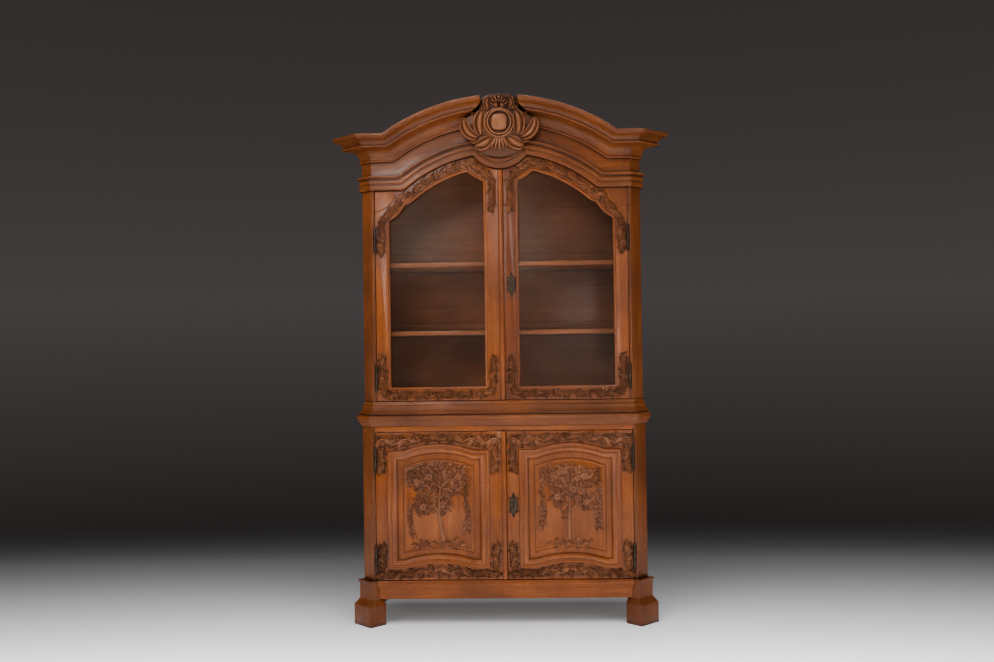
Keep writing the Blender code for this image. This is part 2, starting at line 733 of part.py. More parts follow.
def build_crest():
    """Carved cartouche: a leaning ground, an oval boss and the masses of its scrolls and shell."""
    ground = mirrored([
        (CREST_HALF_W * 0.18, -CREST_BOTTOM), (CREST_HALF_W * 0.52, -CREST_BOTTOM * 0.82),
        (CREST_HALF_W * 0.68, -CREST_BOTTOM * 0.52), (CREST_HALF_W * 0.91, -CREST_BOTTOM * 0.37),
        (CREST_HALF_W, -CREST_BOTTOM * 0.08), (CREST_HALF_W * 0.85, CREST_TOP * 0.14),
        (CREST_HALF_W * 0.58, CREST_TOP * 0.35), (CREST_HALF_W * 0.36, CREST_TOP * 0.65),
        (CREST_HALF_W * 0.27, CREST_TOP * 0.91), (CREST_HALF_W * 0.11, CREST_TOP),
    ])
    ground = [(x, CREST_Z + z) for x, z in ground]
    mesh = flat_mesh("crest_cartouche", [ground], CREST_FACE_PROUD)
    for vertex in mesh.vertices:
        if vertex.co.z > 0:
            vertex.co.z += CREST_LEAN * (vertex.co.y - CREST_Z)
    place = upright(UPPER.front, SEAT, SEAT + CREST_FACE_PROUD)
    crest = add_part("crest_cartouche", mesh, place, "oak")

    # Masses on the ground: across, up, half-width and half-height as shares, the turn in degrees
    masses = [("boss", 0, 0, 0.38, 0.52, 1, 0), ("shell", 0, 0.75, 0.32, 0.23, 0.73, 0)]
    masses.append(("fan", 0, -0.77, 0.27, 0.23, 0.73, 0))
    for word, side in (("left", -1), ("right", 1)):
        masses += [
            (f"inner_scroll_{word}", side * 0.56, 0.09, 0.16, 0.4, 0.82, side * 12),
            (f"outer_scroll_{word}", side * 0.85, -0.11, 0.13, 0.34, 0.64, side * 18),
            (f"lobe_{word}", side * 0.42, -0.68, 0.21, 0.2, 0.64, side * 35),
        ]
    for word, across, up, half_w, half_h, proud, turn in masses:
        depth = SEAT + CREST_FACE_PROUD + CREST_LEAN * CREST_TOP * up
        centre = (CREST_HALF_W * across, UPPER.front - depth, CREST_Z + CREST_TOP * up)
        radii = (CREST_HALF_W * half_w, CREST_SWELL * proud, CREST_TOP * half_h)
        mesh, matrix = squashed_ball(f"crest_{word}", centre, radii, math.radians(turn))
        combine(crest, add_cutter(f"crest_{word}", mesh, matrix), "UNION")

    # Its back is hollowed where it lies over the architrave's lobe
    proud = ARCHITRAVE_PROUD + SEAT
    band = backed([(proud, -SEAT), (proud, ARCHITRAVE_H + SEAT * 2)], ENTABLATURE_T)
    mesh = loft_mesh("crest_seat", front_rings(band, head_line))
    combine(crest, add_cutter("crest_seat", mesh, Matrix.Identity(4)), "DIFFERENCE")


def build_upper():
    levels = plan_levels(backed(PLINTH, PLINTH_T), UPPER.path(), PLINTH_Z)
    add_part("upper_plinth", loft_mesh("upper_plinth", list(zip(*levels))), Matrix.Identity(4), "oak")
    seat_z = PLINTH_TOP + SEAT
    case_top = HEAD_Z
    build_posts(UPPER, "upper", seat_z, case_top)
    sides = build_sides(UPPER, "upper", seat_z, case_top, BACK_Y)
    inner = UPPER.side_inner - SEAT
    plinth_inner = UPPER.half_w - PLINTH_T - SEAT
    back = [(plinth_inner, PLINTH_Z), (plinth_inner, seat_z), (inner, seat_z), (inner, ROOF_Z - SEAT)]
    mesh = flat_mesh("upper_back", [mirrored(back)], BACK_T)
    add_part("upper_back", mesh, upright(BACK_Y, 0, BACK_T), "oak_inside")
    back_y = BACK_Y - BACK_T - SEAT
    stop = UPPER.post_inner - DOOR_STOP - SEAT
    floor = [
        (stop, UPPER.front + DOOR_T + SEAT * 4), (stop, UPPER.post_back + SEAT),
        (inner, UPPER.post_back + SEAT), (inner, back_y),
    ]
    add_board("upper_floor", mirrored(floor), seat_z, BOARD_T, "oak_inside")
    reach = UPPER.side_inner + HOUSING - SEAT
    for name, rise in zip(("upper_shelf_low", "upper_shelf_high"), SHELF_RISES):
        bottom = PLINTH_TOP + rise - SHELF_T
        shelf = [(reach, UPPER.post_back + SEAT * 4), (reach, back_y)]
        add_board(name, mirrored(shelf), bottom, SHELF_T, "oak_inside")
        cut_housings(sides, UPPER.side_inner, bottom, SHELF_T, UPPER.post_back)
    build_entablature()
    build_crest()


UPPER_DOOR_BOTTOM = PLINTH_TOP + DOOR_GAP
LOWER_DOOR_BOTTOM = RAIL_TOP + DOOR_GAP
LOWER_DOOR_TOP = TOP_RAIL_Z - DOOR_GAP
MEETING = BEAD_HALF_W + MEETING_GAP


def upper_door_outline(inner):
    """Outline of a right-hand glazed door; inner is its meeting edge."""
    arch_r = HEAD_R - DOOR_GAP
    lobe_r = LOBE_R + DOOR_GAP
    top = HEAD_Z - DOOR_GAP
    tip = cusp(arch_r, lobe_r)
    start = math.asin((top - ARCH_Z) / arch_r)
    end = math.atan2(tip[1] - ARCH_Z, tip[0])
    turn = math.atan2(tip[1] - LOBE_Z, tip[0])
    outline = [(inner, UPPER_DOOR_BOTTOM), (UPPER.door_outer, UPPER_DOOR_BOTTOM), (UPPER.door_outer, top)]
    outline += arc((0, ARCH_Z), arch_r, start, end, ARC_STEPS)
    outline += arc((0, LOBE_Z), lobe_r, turn, -math.acos(inner / lobe_r), LOBE_STEPS)[1:]
    return outline


def light_outline(grow):
    """Outline of a right-hand door's glass opening, grown by a margin."""
    inner = MEETING + UPPER_STILE_W - grow
    outer = UPPER.door_outer - UPPER_STILE_W + grow
    bottom = UPPER_DOOR_BOTTOM + UPPER_BOTTOM_RAIL_H - grow
    arch_r = HEAD_R - HEAD_BAND + grow
    lobe_r = LOBE_R + LOBE_BAND - grow
    corner = (UPPER.door_outer, HEAD_Z)
    corner_r = LEDGE_BAND - grow
    start = -math.pi + math.acos((corner[0] - outer) / corner_r)
    ledge = math.acos((UPPER.door_outer - LEDGE_INSET) / (HEAD_R - HEAD_BAND))
    tip = cusp(arch_r, lobe_r)
    peak = math.atan2(tip[1] - ARCH_Z, tip[0])
    turn = math.atan2(tip[1] - LOBE_Z, tip[0])
    outline = [(inner, bottom), (outer, bottom)]
    outline += arc(corner, corner_r, start, LEDGE_TURN - math.pi, ARC_STEPS // 2)
    outline += arc((0, ARCH_Z), arch_r, ledge, peak, ARC_STEPS)
    outline += arc((0, LOBE_Z), lobe_r, turn, -math.acos(inner / lobe_r), LOBE_STEPS // 2)[1:]
    return outline


def panel_outline(grow):
    """Outline of a right-hand lower door's panel opening, grown by a margin."""
    left = MEETING + LOWER_STILE_W
    right = BASE.door_outer - LOWER_STILE_W
    low = LOWER_DOOR_BOTTOM + PANEL_RAIL_LOW
    high = LOWER_DOOR_TOP - PANEL_RAIL_HIGH
    middle = (left + right) / 2
    half = (right - left) / 2
    chord = half - PANEL_EAR
    outline = [(left - grow, high + grow), (left - grow, low - grow)]
    for base_z, rise, sign in ((low, PANEL_RISE_LOW, -1), (high, PANEL_RISE_HIGH, 1)):
        radius = (chord ** 2 + rise ** 2) / (2 * rise)
        centre = base_z + rise - radius
        radius += sign * grow
        lean = math.acos((base_z + sign * grow - centre) / radius)
        # A deep inset makes the hollow edge longer, so its ends stop just inside the upright edges
        lean = min(lean, math.asin((half + grow) * PANEL_BOW_SHARE / radius))
        swing = sign * lean
        outline += arc((middle, centre), radius, math.pi / 2 - swing, math.pi / 2 + swing, ARC_STEPS)
        if sign < 0:
            outline += [(right + grow, low - grow), (right + grow, high + grow)]
    return outline


def sided(outline, side):
    return [(side * x, z) for x, z in outline]


def meeting_bead(part, name, front, bottom, top):
    """Half-round bead on the front of a left door, over the joint between the pair."""
    rings = []
    for z in (bottom, top):
        ring = [(-BEAD_HALF_W, front + BEAD_PROUD / 2, z)]
        for across, up in quarter((0, 0), BEAD_HALF_W, BEAD_PROUD, 180, 0, 8):
            ring.append((across, front - up, z))
        ring.append((BEAD_HALF_W, front + BEAD_PROUD / 2, z))
        rings.append(ring)
    combine(part, add_cutter(name, loft_mesh(name, rings), Matrix.Identity(4)), "UNION")


def build_hinge(prefix, case, side, z, carrier):
    """Barrel hinge in two halves: the post's half has the pin, the door's half drops over it."""
    place = Matrix.Translation((side * case.hinge_x, case.hinge_y, z))
    half_gap = SEAT / 2
    finial = scaled([(0.65, 0.15), (0.85, 0.4), (0.6, 0.8), (0, 1)], BARREL_R, FINIAL_H)
    pin = [(0, PIN_L - SEAT), (PIN_R, PIN_L - SEAT), (PIN_R, -half_gap), (BARREL_R, -half_gap)]
    pin += [(BARREL_R, -BARREL_L)] + [(r, -BARREL_L - h) for r, h in finial]
    knuckle = [(r, BARREL_L + h) for r, h in finial[::-1]] + [(BARREL_R, BARREL_L)]
    knuckle += [(BARREL_R, half_gap), (BORE_R, half_gap), (BORE_R, PIN_L), (0, PIN_L)]
    halves = (
        (f"{prefix}_hinge_pin", pin, (-BARREL_L + LEAF_END, -LEAF_END), side, None),
        (f"{prefix}_hinge_knuckle", knuckle, (LEAF_END, BARREL_L - LEAF_END), -side, carrier),
    )
    for name, profile, (low, high), leaf_side, held in halves:
        part = add_part(name, turned_mesh(name, profile), place, "iron", held)
        screw = part.modifiers.new("turn", "SCREW")
        screw.axis = "Z"
        screw.steps = HINGE_SIDES
        screw.render_steps = HINGE_SIDES
        screw.use_merge_vertices = True
        screw.merge_threshold = 0.00001
        ends = sorted((side * case.hinge_x, side * case.hinge_x + leaf_side * LEAF_T))
        near = case.hinge_y + (BORE_R + BARREL_R) / 2
        mesh, matrix = box_mesh(
            f"{name}_leaf", (ends[0], near, z + low), (ends[1], case.front + LEAF_DEPTH, z + high),
        )
        combine(part, add_cutter(f"{name}_leaf", mesh, matrix), "UNION")


def keyhole_outline(middle, z):
    """Keyhole: a round hole with a slot below it."""
    half = KEYHOLE_R * 0.45
    start = -math.acos(half / KEYHOLE_R)
    around = arc((middle, z), KEYHOLE_R, start, math.pi - start, 10)
    return around + [(middle - half, z - KEYHOLE_SLOT), (middle + half, z - KEYHOLE_SLOT)]


def build_lock(prefix, case, flat_w, z, right, left, carrier):
    """Mortised lock: its case in the right door's stile, a sliding bolt and a pierced escutcheon."""
    edge = MEETING
    case_low = edge + CASE_FROM_EDGE
    back = case.front + DOOR_T - SEAT
    near = back - CASE_T
    middle = edge + flat_w / 2
    name = f"{prefix}_lock_case"
    lock = add_box(
        name, (case_low, near, z - CASE_H / 2), (case_low + CASE_W, back, z + CASE_H / 2), "iron", carrier,
    )
    cut_box(
        right, f"{name}_pocket", (case_low - SEAT, near - SEAT, z - CASE_H / 2 - SEAT),
        (case_low + CASE_W + SEAT, back + DOOR_T, z + CASE_H / 2 + SEAT),
    )
    bolt_y = (near + back) / 2
    bolt_low = edge + BOLT_BACK
    low = (bolt_low, bolt_y - BOLT_T / 2, z - BOLT_H / 2)
    high = (bolt_low + BOLT_L, bolt_y + BOLT_T / 2, z + BOLT_H / 2)
    axis = joint_empty(f"{prefix}_lock_slide", (bolt_low, bolt_y, z), carrier)
    add_box(f"{prefix}_lock_bolt", low, high, "iron", axis)
    slot_low = (edge - BOLT_THROW, low[1] - SEAT, low[2] - SEAT)
    slot_high = (high[0] + SEAT, high[1] + SEAT, high[2] + SEAT)
    cut_box(lock, f"{name}_channel", slot_low, slot_high)
    cut_box(right, f"{name}_slot", slot_low, (case_low, slot_high[1], slot_high[2]))
    strike_low = (bolt_low - BOLT_THROW - SEAT * 2, slot_low[1], slot_low[2])
    cut_box(left, f"{name}_strike", strike_low, (edge, slot_high[1], slot_high[2]))

    hole = keyhole_outline(middle, z)
    mesh = flat_mesh(f"{name}_keyhole", [hole], DOOR_T)
    passage_back = case.front - near - SEAT
    place = upright(case.front, passage_back, passage_back + DOOR_T)
    combine(right, add_cutter(f"{name}_keyhole", mesh, place), "DIFFERENCE")

    # Escutcheon: a pointed oval drawn with two arcs
    half_h = ESCUTCHEON_H / 2
    half_w = flat_w * ESCUTCHEON_SHARE / 2
    radius = (half_h ** 2 + half_w ** 2) / (2 * half_w)
    sweep = math.asin(half_h / radius)
    outer = arc((middle + half_w - radius, z), radius, -sweep, sweep, 8)
    outer += arc((middle - half_w + radius, z), radius, math.pi - sweep, math.pi + sweep, 8)[1:-1]
    name = f"{prefix}_escutcheon"
    mesh = flat_mesh(name, [outer, hole], ESCUTCHEON_T)
    add_part(name, mesh, upright(case.front, SEAT, SEAT + ESCUTCHEON_T), "iron", carrier)


def build_doors():
    frames = {}
    carriers = {}
    for word, side in (("left", -1), ("right", 1)):
        inner = MEETING if side > 0 else -BEAD_HALF_W

        # Glazed door: one frame with a rebate behind, and its pane
        name = f"upper_{word}_door"
        carrier = joint_empty(f"{name}_hinge", (side * UPPER.hinge_x, UPPER.hinge_y, UPPER_DOOR_BOTTOM))
        outlines = [sided(upper_door_outline(inner), side), sided(light_outline(0), side)]
        mesh = flat_mesh(f"{name}_frame", outlines, DOOR_T)
        frame = add_part(f"{name}_frame", mesh, upright(UPPER.front, -DOOR_T, 0), "oak", carrier)
        rebate = flat_mesh(f"{name}_rebate", [sided(light_outline(REBATE_W), side)], DOOR_T)
        place = upright(UPPER.front, -REBATE_SINK - DOOR_T, -REBATE_SINK)
        combine(frame, add_cutter(f"{name}_rebate", rebate, place), "DIFFERENCE")
        mesh = flat_mesh(f"upper_{word}_glass", [sided(light_outline(REBATE_W - SEAT * 2), side)], GLASS_T)
        glass_front = -REBATE_SINK - SEAT
        place = upright(UPPER.front, glass_front - GLASS_T, glass_front)
        add_part(f"upper_{word}_glass", mesh, place, "glass", carrier)
        heights = (UPPER_DOOR_BOTTOM + UPPER_HINGE_FROM_BOTTOM, HEAD_Z - UPPER_HINGE_FROM_HEAD)
        for level, z in zip(("low", "high"), heights):
            build_hinge(f"{name}_{level}", UPPER, side, z, carrier)
        frames["upper", word] = frame
        carriers["upper", word] = carrier

        # Panelled door: one frame with a moulded edge and a groove, and its raised panel
        name = f"lower_{word}_door"
        carrier = joint_empty(f"{name}_hinge", (side * BASE.hinge_x, BASE.hinge_y, LOWER_DOOR_BOTTOM))
        outer = [
            (inner, LOWER_DOOR_BOTTOM), (BASE.door_outer, LOWER_DOOR_BOTTOM),
            (BASE.door_outer, LOWER_DOOR_TOP), (inner, LOWER_DOOR_TOP),
        ]
        mesh = flat_mesh(f"{name}_frame", [sided(outer, side), sided(panel_outline(0), side)], DOOR_T)
        frame = add_part(f"{name}_frame", mesh, upright(BASE.front, -DOOR_T, 0), "oak", carrier)
        mould = [sided(panel_outline(MOULD_W), side), sided(panel_outline(-MOULD_LIP), side)]
        mesh = flat_mesh(f"{name}_mould", mould, MOULD_PROUD * 2)
        place = upright(BASE.front, -MOULD_PROUD, MOULD_PROUD)
        combine(frame, add_cutter(f"{name}_mould", mesh, place), "UNION")
        groove = sided(panel_outline(PANEL_TONGUE + SEAT), side)
        groove_t = PANEL_TONGUE_T + SEAT * 2
        groove_front = -PANEL_TONGUE_SINK + SEAT
        place = upright(BASE.front, groove_front - groove_t, groove_front)
        mesh = flat_mesh(f"{name}_groove", [groove], groove_t)
        combine(frame, add_cutter(f"{name}_groove", mesh, place), "DIFFERENCE")

        tongue_back = PANEL_TONGUE_SINK + PANEL_TONGUE_T
        lip = MOULD_LIP + SEAT
        levels = [
            (PANEL_TONGUE, tongue_back), (PANEL_TONGUE, PANEL_TONGUE_SINK), (-lip, PANEL_TONGUE_SINK),
            (-lip, PANEL_BORDER_SINK), (-PANEL_BORDER, PANEL_BORDER_SINK),
            (-PANEL_BORDER - PANEL_BEVEL, PANEL_FIELD_SINK),
        ]
        rings = []
        for grow, sink in levels:
            outline = sided(panel_outline(grow), side)
            rings.append([(x, BASE.front + sink, z) for x, z in outline[::side]])
        mesh = loft_mesh(f"lower_{word}_panel", rings)
        add_part(f"lower_{word}_panel", mesh, Matrix.Identity(4), "oak", carrier)
        heights = (LOWER_DOOR_BOTTOM + LOWER_HINGE_FROM_BOTTOM, LOWER_DOOR_TOP - LOWER_HINGE_FROM_TOP)
        for level, z in zip(("low", "high"), heights):
            build_hinge(f"{name}_{level}", BASE, side, z, carrier)
        frames["lower", word] = frame
        carriers["lower", word] = carrier

    lobe_top = LOBE_Z - math.sqrt((LOBE_R + DOOR_GAP) ** 2 - BEAD_HALF_W ** 2)
    meeting_bead(
        frames["upper", "left"], "upper_meeting_bead", UPPER.front, UPPER_DOOR_BOTTOM, lobe_top - DOOR_GAP,
    )
    meeting_bead(
        frames["lower", "left"], "lower_meeting_bead", BASE.front, LOWER_DOOR_BOTTOM, LOWER_DOOR_TOP,
    )
    locks = (
        ("upper", UPPER, UPPER_STILE_W, UPPER_DOOR_BOTTOM + UPPER_LOCK_RISE),
        ("lower", BASE, LOWER_STILE_W - MOULD_W, LOWER_DOOR_BOTTOM + LOWER_LOCK_RISE),
    )
    for prefix, case, flat_w, z in locks:
        build_lock(
            prefix, case, flat_w, z, frames[prefix, "right"], frames[prefix, "left"],
            carriers[prefix, "right"],
        )


build_base()
build_upper()
build_doors()
bpy.context.view_layer.update()
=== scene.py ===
import json
import math

import bmesh
import bpy
from mathutils import Matrix, Vector


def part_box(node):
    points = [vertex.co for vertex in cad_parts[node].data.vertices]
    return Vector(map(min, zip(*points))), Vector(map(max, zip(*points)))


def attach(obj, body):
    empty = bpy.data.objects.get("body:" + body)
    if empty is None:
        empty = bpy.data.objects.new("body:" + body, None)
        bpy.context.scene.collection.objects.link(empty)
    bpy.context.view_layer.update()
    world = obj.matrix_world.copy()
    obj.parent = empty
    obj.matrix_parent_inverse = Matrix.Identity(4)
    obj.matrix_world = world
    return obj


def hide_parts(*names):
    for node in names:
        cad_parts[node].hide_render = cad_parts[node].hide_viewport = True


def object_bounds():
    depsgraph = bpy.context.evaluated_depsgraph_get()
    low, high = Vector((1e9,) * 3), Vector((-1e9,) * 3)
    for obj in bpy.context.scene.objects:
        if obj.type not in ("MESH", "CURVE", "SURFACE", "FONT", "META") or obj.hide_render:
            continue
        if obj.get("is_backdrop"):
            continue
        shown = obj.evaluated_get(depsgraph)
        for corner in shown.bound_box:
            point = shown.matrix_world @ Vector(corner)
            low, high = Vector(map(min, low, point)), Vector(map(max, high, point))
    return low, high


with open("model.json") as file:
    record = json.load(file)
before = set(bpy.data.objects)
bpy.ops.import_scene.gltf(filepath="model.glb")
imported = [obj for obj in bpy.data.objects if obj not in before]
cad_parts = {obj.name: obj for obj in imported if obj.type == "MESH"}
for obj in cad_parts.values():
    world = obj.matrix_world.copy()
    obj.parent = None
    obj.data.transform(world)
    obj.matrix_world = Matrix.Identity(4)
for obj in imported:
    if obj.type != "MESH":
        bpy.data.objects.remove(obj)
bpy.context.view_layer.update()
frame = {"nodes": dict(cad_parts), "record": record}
nodes = frame["nodes"]
body_of = {node: body for body, held in frame["record"]["behaviour"]["bodies"].items() for node in held}

# Base case: block feet, canted corner posts, rails and sides of oak, stained honey brown and waxed.
# The boards are pegged together, and planing and long wear have rounded their edges.
# Waxed oak shows long streaks, short dark pores, and dark wax and painted shade where cloths don't reach.
WORN_EDGE = 0.0012
SHARP_ANGLE = math.radians(28)
OAK_TONES = ("#9E551C", "#7C3B10", "#3E1B08")  # the light, middle and dark streaks of a wood
# The case is drawn in a darker copy of the oak's tones: painted shade
CASE_SHADED_TONES = ("#884B21", "#6A3516", "#3A1B0A")
DARK_WAX_AND_SHADE = "#1C0D06"
FIGURE_MM = 30
STREAK_MM = 5
PORE_MM = 1.6  # drawn about four times too coarse, to show in the render
PATCH_MM = 240
ALONG_GRAIN = 0.05
RECESS_MM = 22
BOARD_SHIFT = (3.1, 5.7, 2.3)  # moves the pattern, so that no two boards are cut from the same place
JOINT_W = 0.0016
PORE_DEPTH = 0.0008
SAME_SPOT = 0.00001


def linear(code):
    """An sRGB hex colour as linear red, green, blue and alpha."""
    shares = [int(code[i:i + 2], 16) / 255 for i in (1, 3, 5)]
    return tuple(c / 12.92 if c <= 0.04045 else ((c + 0.055) / 1.055) ** 2.4 for c in shares) + (1.0,)


def per_metre(mm):
    return 1000 / mm


def add_node(tree, kind, inputs, output=0, **settings):
    """Add a shader node and give one of its outputs; an input takes a value or another node's output."""
    node = tree.nodes.new(kind)
    for key, value in settings.items():
        setattr(node, key, value)
    for socket, value in inputs.items():
        if isinstance(value, bpy.types.NodeSocket):
            tree.links.new(value, node.inputs[socket])
        else:
            node.inputs[socket].default_value = value
    return node.outputs[output]


def new_material(name):
    """A material, its node tree, its shader and the place on a piece that its patterns follow."""
    material = bpy.data.materials.new(name)
    material.use_nodes = True
    tree = material.node_tree
    place = add_node(tree, "ShaderNodeTexCoord", {}, "Object")
    return material, tree, tree.nodes["Principled BSDF"], place


def waxed_oak(name, grain, tones=OAK_TONES, carved=False, board_mm=0):
    """Oak with its grain along an axis (0, 1, 2); carved oak is darkest, with painted shade, at the bottom
    of its cuts.
    """
    material, tree, shader, place = new_material(name)
    light, middle, dark = tones
    board = add_node(tree, "ShaderNodeAttribute", {}, "Fac", attribute_name="board")
    moved = add_node(
        tree, "ShaderNodeVectorMath", {0: board, 1: BOARD_SHIFT, 2: place}, operation="MULTIPLY_ADD",
    )
    scale = [1.0, 1.0, 1.0]
    scale[grain] = ALONG_GRAIN
    drawn = add_node(tree, "ShaderNodeMapping", {"Vector": moved, "Scale": scale})
    # Figure, streaks, pores and uneven wax: each a noise, and how much of it shows
    layers = []
    for vector, mm, detail, roughness, twist, least, most, share in (
        (drawn, FIGURE_MM, 5, 0.62, 1.1, 0.32, 0.68, 1.0), (drawn, STREAK_MM, 3, 0.5, 0.0, 0.3, 0.7, 0.55),
        (drawn, PORE_MM, 1, 0.5, 0.0, 0.57, 0.66, 0.55), (moved, PATCH_MM, 3, 0.5, 0.0, 0.34, 0.68, 0.6),
    ):
        noise = add_node(
            tree, "ShaderNodeTexNoise",
            {"Vector": vector, "Scale": per_metre(mm), "Detail": detail, "Roughness": roughness,
             "Distortion": twist},
        )
        layers.append(add_node(tree, "ShaderNodeMapRange", {0: noise, 1: least, 2: most, 4: share}))
    figure, streak, pores, patch = layers
    coats = [(figure, light), (streak, middle), (patch, dark), (pores, dark)]
    if board_mm:
        # Joints of a panel of boards laid one above the other
        height = add_node(tree, "ShaderNodeSeparateXYZ", {0: place}, 2)
        turn = add_node(tree, "ShaderNodeMath", {0: height, 1: board_mm / 1000}, operation="PINGPONG")
        joint = add_node(tree, "ShaderNodeMapRange", {0: turn, 1: JOINT_W / 4, 2: JOINT_W, 3: 0.85, 4: 0.0})
        coats.append((joint, DARK_WAX_AND_SHADE))
    # Hollows near other wood are darkened, as old wax and painted shade
    open_sky = add_node(tree, "ShaderNodeAmbientOcclusion", {"Distance": RECESS_MM / 1000}, "AO", samples=6)
    wax_and_shade = add_node(tree, "ShaderNodeMapRange", {0: open_sky, 1: 0.35, 2: 0.9, 3: 0.9, 4: 0.0})
    if carved:
        # Low relief is darkened too: painted shade at the bottom of the cuts, with old wax
        relief = add_node(tree, "ShaderNodeAttribute", {}, "Fac", attribute_name="relief")
        depth = add_node(tree, "ShaderNodeMapRange", {0: relief, 2: 0.45, 3: 0.85, 4: 0.0})
        wax_and_shade = add_node(tree, "ShaderNodeMath", {0: wax_and_shade, 1: depth}, operation="MAXIMUM")
        rubbed = add_node(tree, "ShaderNodeMapRange", {0: relief, 1: 0.6, 4: 0.22})
        tree.links.new(rubbed, shader.inputs["Coat Weight"])
    coats.append((wax_and_shade, DARK_WAX_AND_SHADE))
    colour = linear(middle)
    for share, tone in coats:
        colour = add_node(
            tree, "ShaderNodeMix", {0: share, 6: colour, 7: linear(tone)}, 2, data_type="RGBA",
        )
    tree.links.new(colour, shader.inputs["Base Color"])
    dull = add_node(tree, "ShaderNodeMath", {0: patch, 1: pores}, operation="ADD")
    rough = add_node(tree, "ShaderNodeMapRange", {0: dull, 3: 0.26, 4: 0.5})
    tree.links.new(rough, shader.inputs["Roughness"])
    cut = add_node(tree, "ShaderNodeMath", {0: streak, 1: pores}, operation="SUBTRACT")
    bump = add_node(tree, "ShaderNodeBump", {"Height": cut, "Strength": 0.22, "Distance": PORE_DEPTH})
    tree.links.new(bump, shader.inputs["Normal"])
    shader.inputs["Specular IOR Level"].default_value = 0.2
    shader.inputs["Coat Weight"].default_value = 0.03
    shader.inputs["Coat Roughness"].default_value = 0.2
    return material


CASE_DEEP = waxed_oak("shaded_oak_deep", 1, CASE_SHADED_TONES)
CASE_ACROSS = waxed_oak("shaded_oak_across", 0, CASE_SHADED_TONES)
CASE_UPRIGHT = waxed_oak("shaded_oak_upright", 2, CASE_SHADED_TONES)
OAK_ACROSS = waxed_oak("waxed_oak_across", 0)
OAK_UPRIGHT = waxed_oak("waxed_oak_upright", 2)
boards_made = 0


def settle(bm, name, body, materials, sharp=SHARP_ANGLE):
    """Make a piece of a finished mesh, let it ride on its body, and give it a board number of its own."""
    global boards_made
    boards_made += 1
    mesh = bpy.data.meshes.new(name)
    bm.to_mesh(mesh)
    bm.free()
    for material in materials:
        mesh.materials.append(material)
    mesh.shade_smooth()
    mesh.set_sharp_from_angle(angle=sharp)
    board = mesh.attributes.new("board", "FLOAT", "POINT")
    board.data.foreach_set("value", [boards_made * 0.37 % 1] * len(mesh.vertices))
    piece = bpy.data.objects.new(name, mesh)
    bpy.context.scene.collection.objects.link(piece)
    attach(piece, body)
    return piece


def merged(node):
    """A bmesh of a CAD node with its loose triangles joined into plain faces."""
    bm = bmesh.new()
    bm.from_mesh(nodes[node].data)
    bmesh.ops.remove_doubles(bm, verts=bm.verts, dist=SAME_SPOT)
    bmesh.ops.dissolve_limit(bm, angle_limit=math.radians(0.5), verts=bm.verts, edges=bm.edges)
    return bm


def wear_edges(bm, edge):
    """Round the sharp edges of a mesh, as planing and handling do."""
    sharp = [e for e in bm.edges if e.is_manifold and e.calc_face_angle() > SHARP_ANGLE]
    bmesh.ops.bevel(
        bm, geom=sharp, offset=edge, offset_type="OFFSET", segments=2, profile=0.5, affect="EDGES",
        clamp_overlap=True, material=-1,
    )


def finish_node(node, material, edge=WORN_EDGE):
    """Put a merged copy of a CAD node with worn edges in the node's place."""
    bm = merged(node)
    if edge:
        wear_edges(bm, edge)
    piece = settle(bm, f"{node}_worn", body_of[node], [material])
    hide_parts(node)
    return piece


for side in ("left", "right"):
    finish_node(f"foot_front_{side}", CASE_UPRIGHT, edge=0.003)
    finish_node(f"base_corner_post_{side}", CASE_UPRIGHT)
    finish_node(f"base_back_post_{side}", CASE_UPRIGHT)
    finish_node(f"base_side_{side}", CASE_UPRIGHT)
finish_node("base_bottom_rail", OAK_ACROSS)
finish_node("base_top_rail", OAK_ACROSS)

# Boards inside both cases: floors, shelves, backs and roof of plain oak, oiled and gone dark with age.
# They lie in grooves cut across the sides, and the backs are boards laid one above the other.
# The inside boards are drawn lighter than the outer oak: painted light in the dim case
INSIDE_LIT_TONES = ("#AA6539", "#8E4E2A", "#6A391D")
BACK_BOARD_MM = 172
INSIDE_ACROSS = waxed_oak("oiled_oak_across", 0, INSIDE_LIT_TONES)
INSIDE_BOARDS = waxed_oak("oiled_oak_boards", 0, INSIDE_LIT_TONES, board_mm=BACK_BOARD_MM)
for level, boards in (
    ("base", ("floor", "shelf")), ("upper", ("floor", "shelf_low", "shelf_high", "roof")),
):
    for board in boards:
        finish_node(f"{level}_{board}", INSIDE_ACROSS)
for node in ("base_back", "upper_back"):
    finish_node(node, INSIDE_BOARDS)

# Moulded top of the base and plinth of the upper case, run with moulding planes from solid oak.
# The upper case only stands on the base, and their mouldings meet in one waist.
finish_node("base_top", CASE_ACROSS, edge=0.002)
finish_node("upper_plinth", CASE_ACROSS, edge=0.0015)

# Upper case: canted posts and panelled sides of the same oak, open towards the glazed doors.
# A slim bead runs down each post beside its door.
for side in ("left", "right"):
    finish_node(f"upper_corner_post_{side}", CASE_UPRIGHT)
    finish_node(f"upper_side_{side}", CASE_UPRIGHT)
BEAD_W = 0.0065
BEAD_PROUD = 0.0032
BEAD_FROM_CANT = 0.0052
CANT = 0.0487


def skin(bm, columns, rows, place, material=0):
    """A patch of faces bent to a shape: place(u, v) puts a corner, u from 0 to 1 and v from -1 to 1."""
    made = bmesh.ops.create_grid(bm, x_segments=columns, y_segments=rows, size=0.5)
    relief = bm.verts.layers.float["relief"]
    for vert in made["verts"]:
        vert.co, vert[relief] = place(vert.co.x + 0.5, vert.co.y * 2)
        for face in vert.link_faces:
            face.material_index = material


def carving():
    """An empty bmesh whose corners keep how far they stand out of the ground, 0 to 1; low ones get painted
    shade.
    """
    bm = bmesh.new()
    bm.verts.layers.float.new("relief")
    return bm


def mirror_over(bm):
    """Turn a right-hand piece into a left-hand one."""
    bmesh.ops.scale(bm, vec=(-1, 1, 1), verts=bm.verts)
    bmesh.ops.reverse_faces(bm, faces=bm.faces)


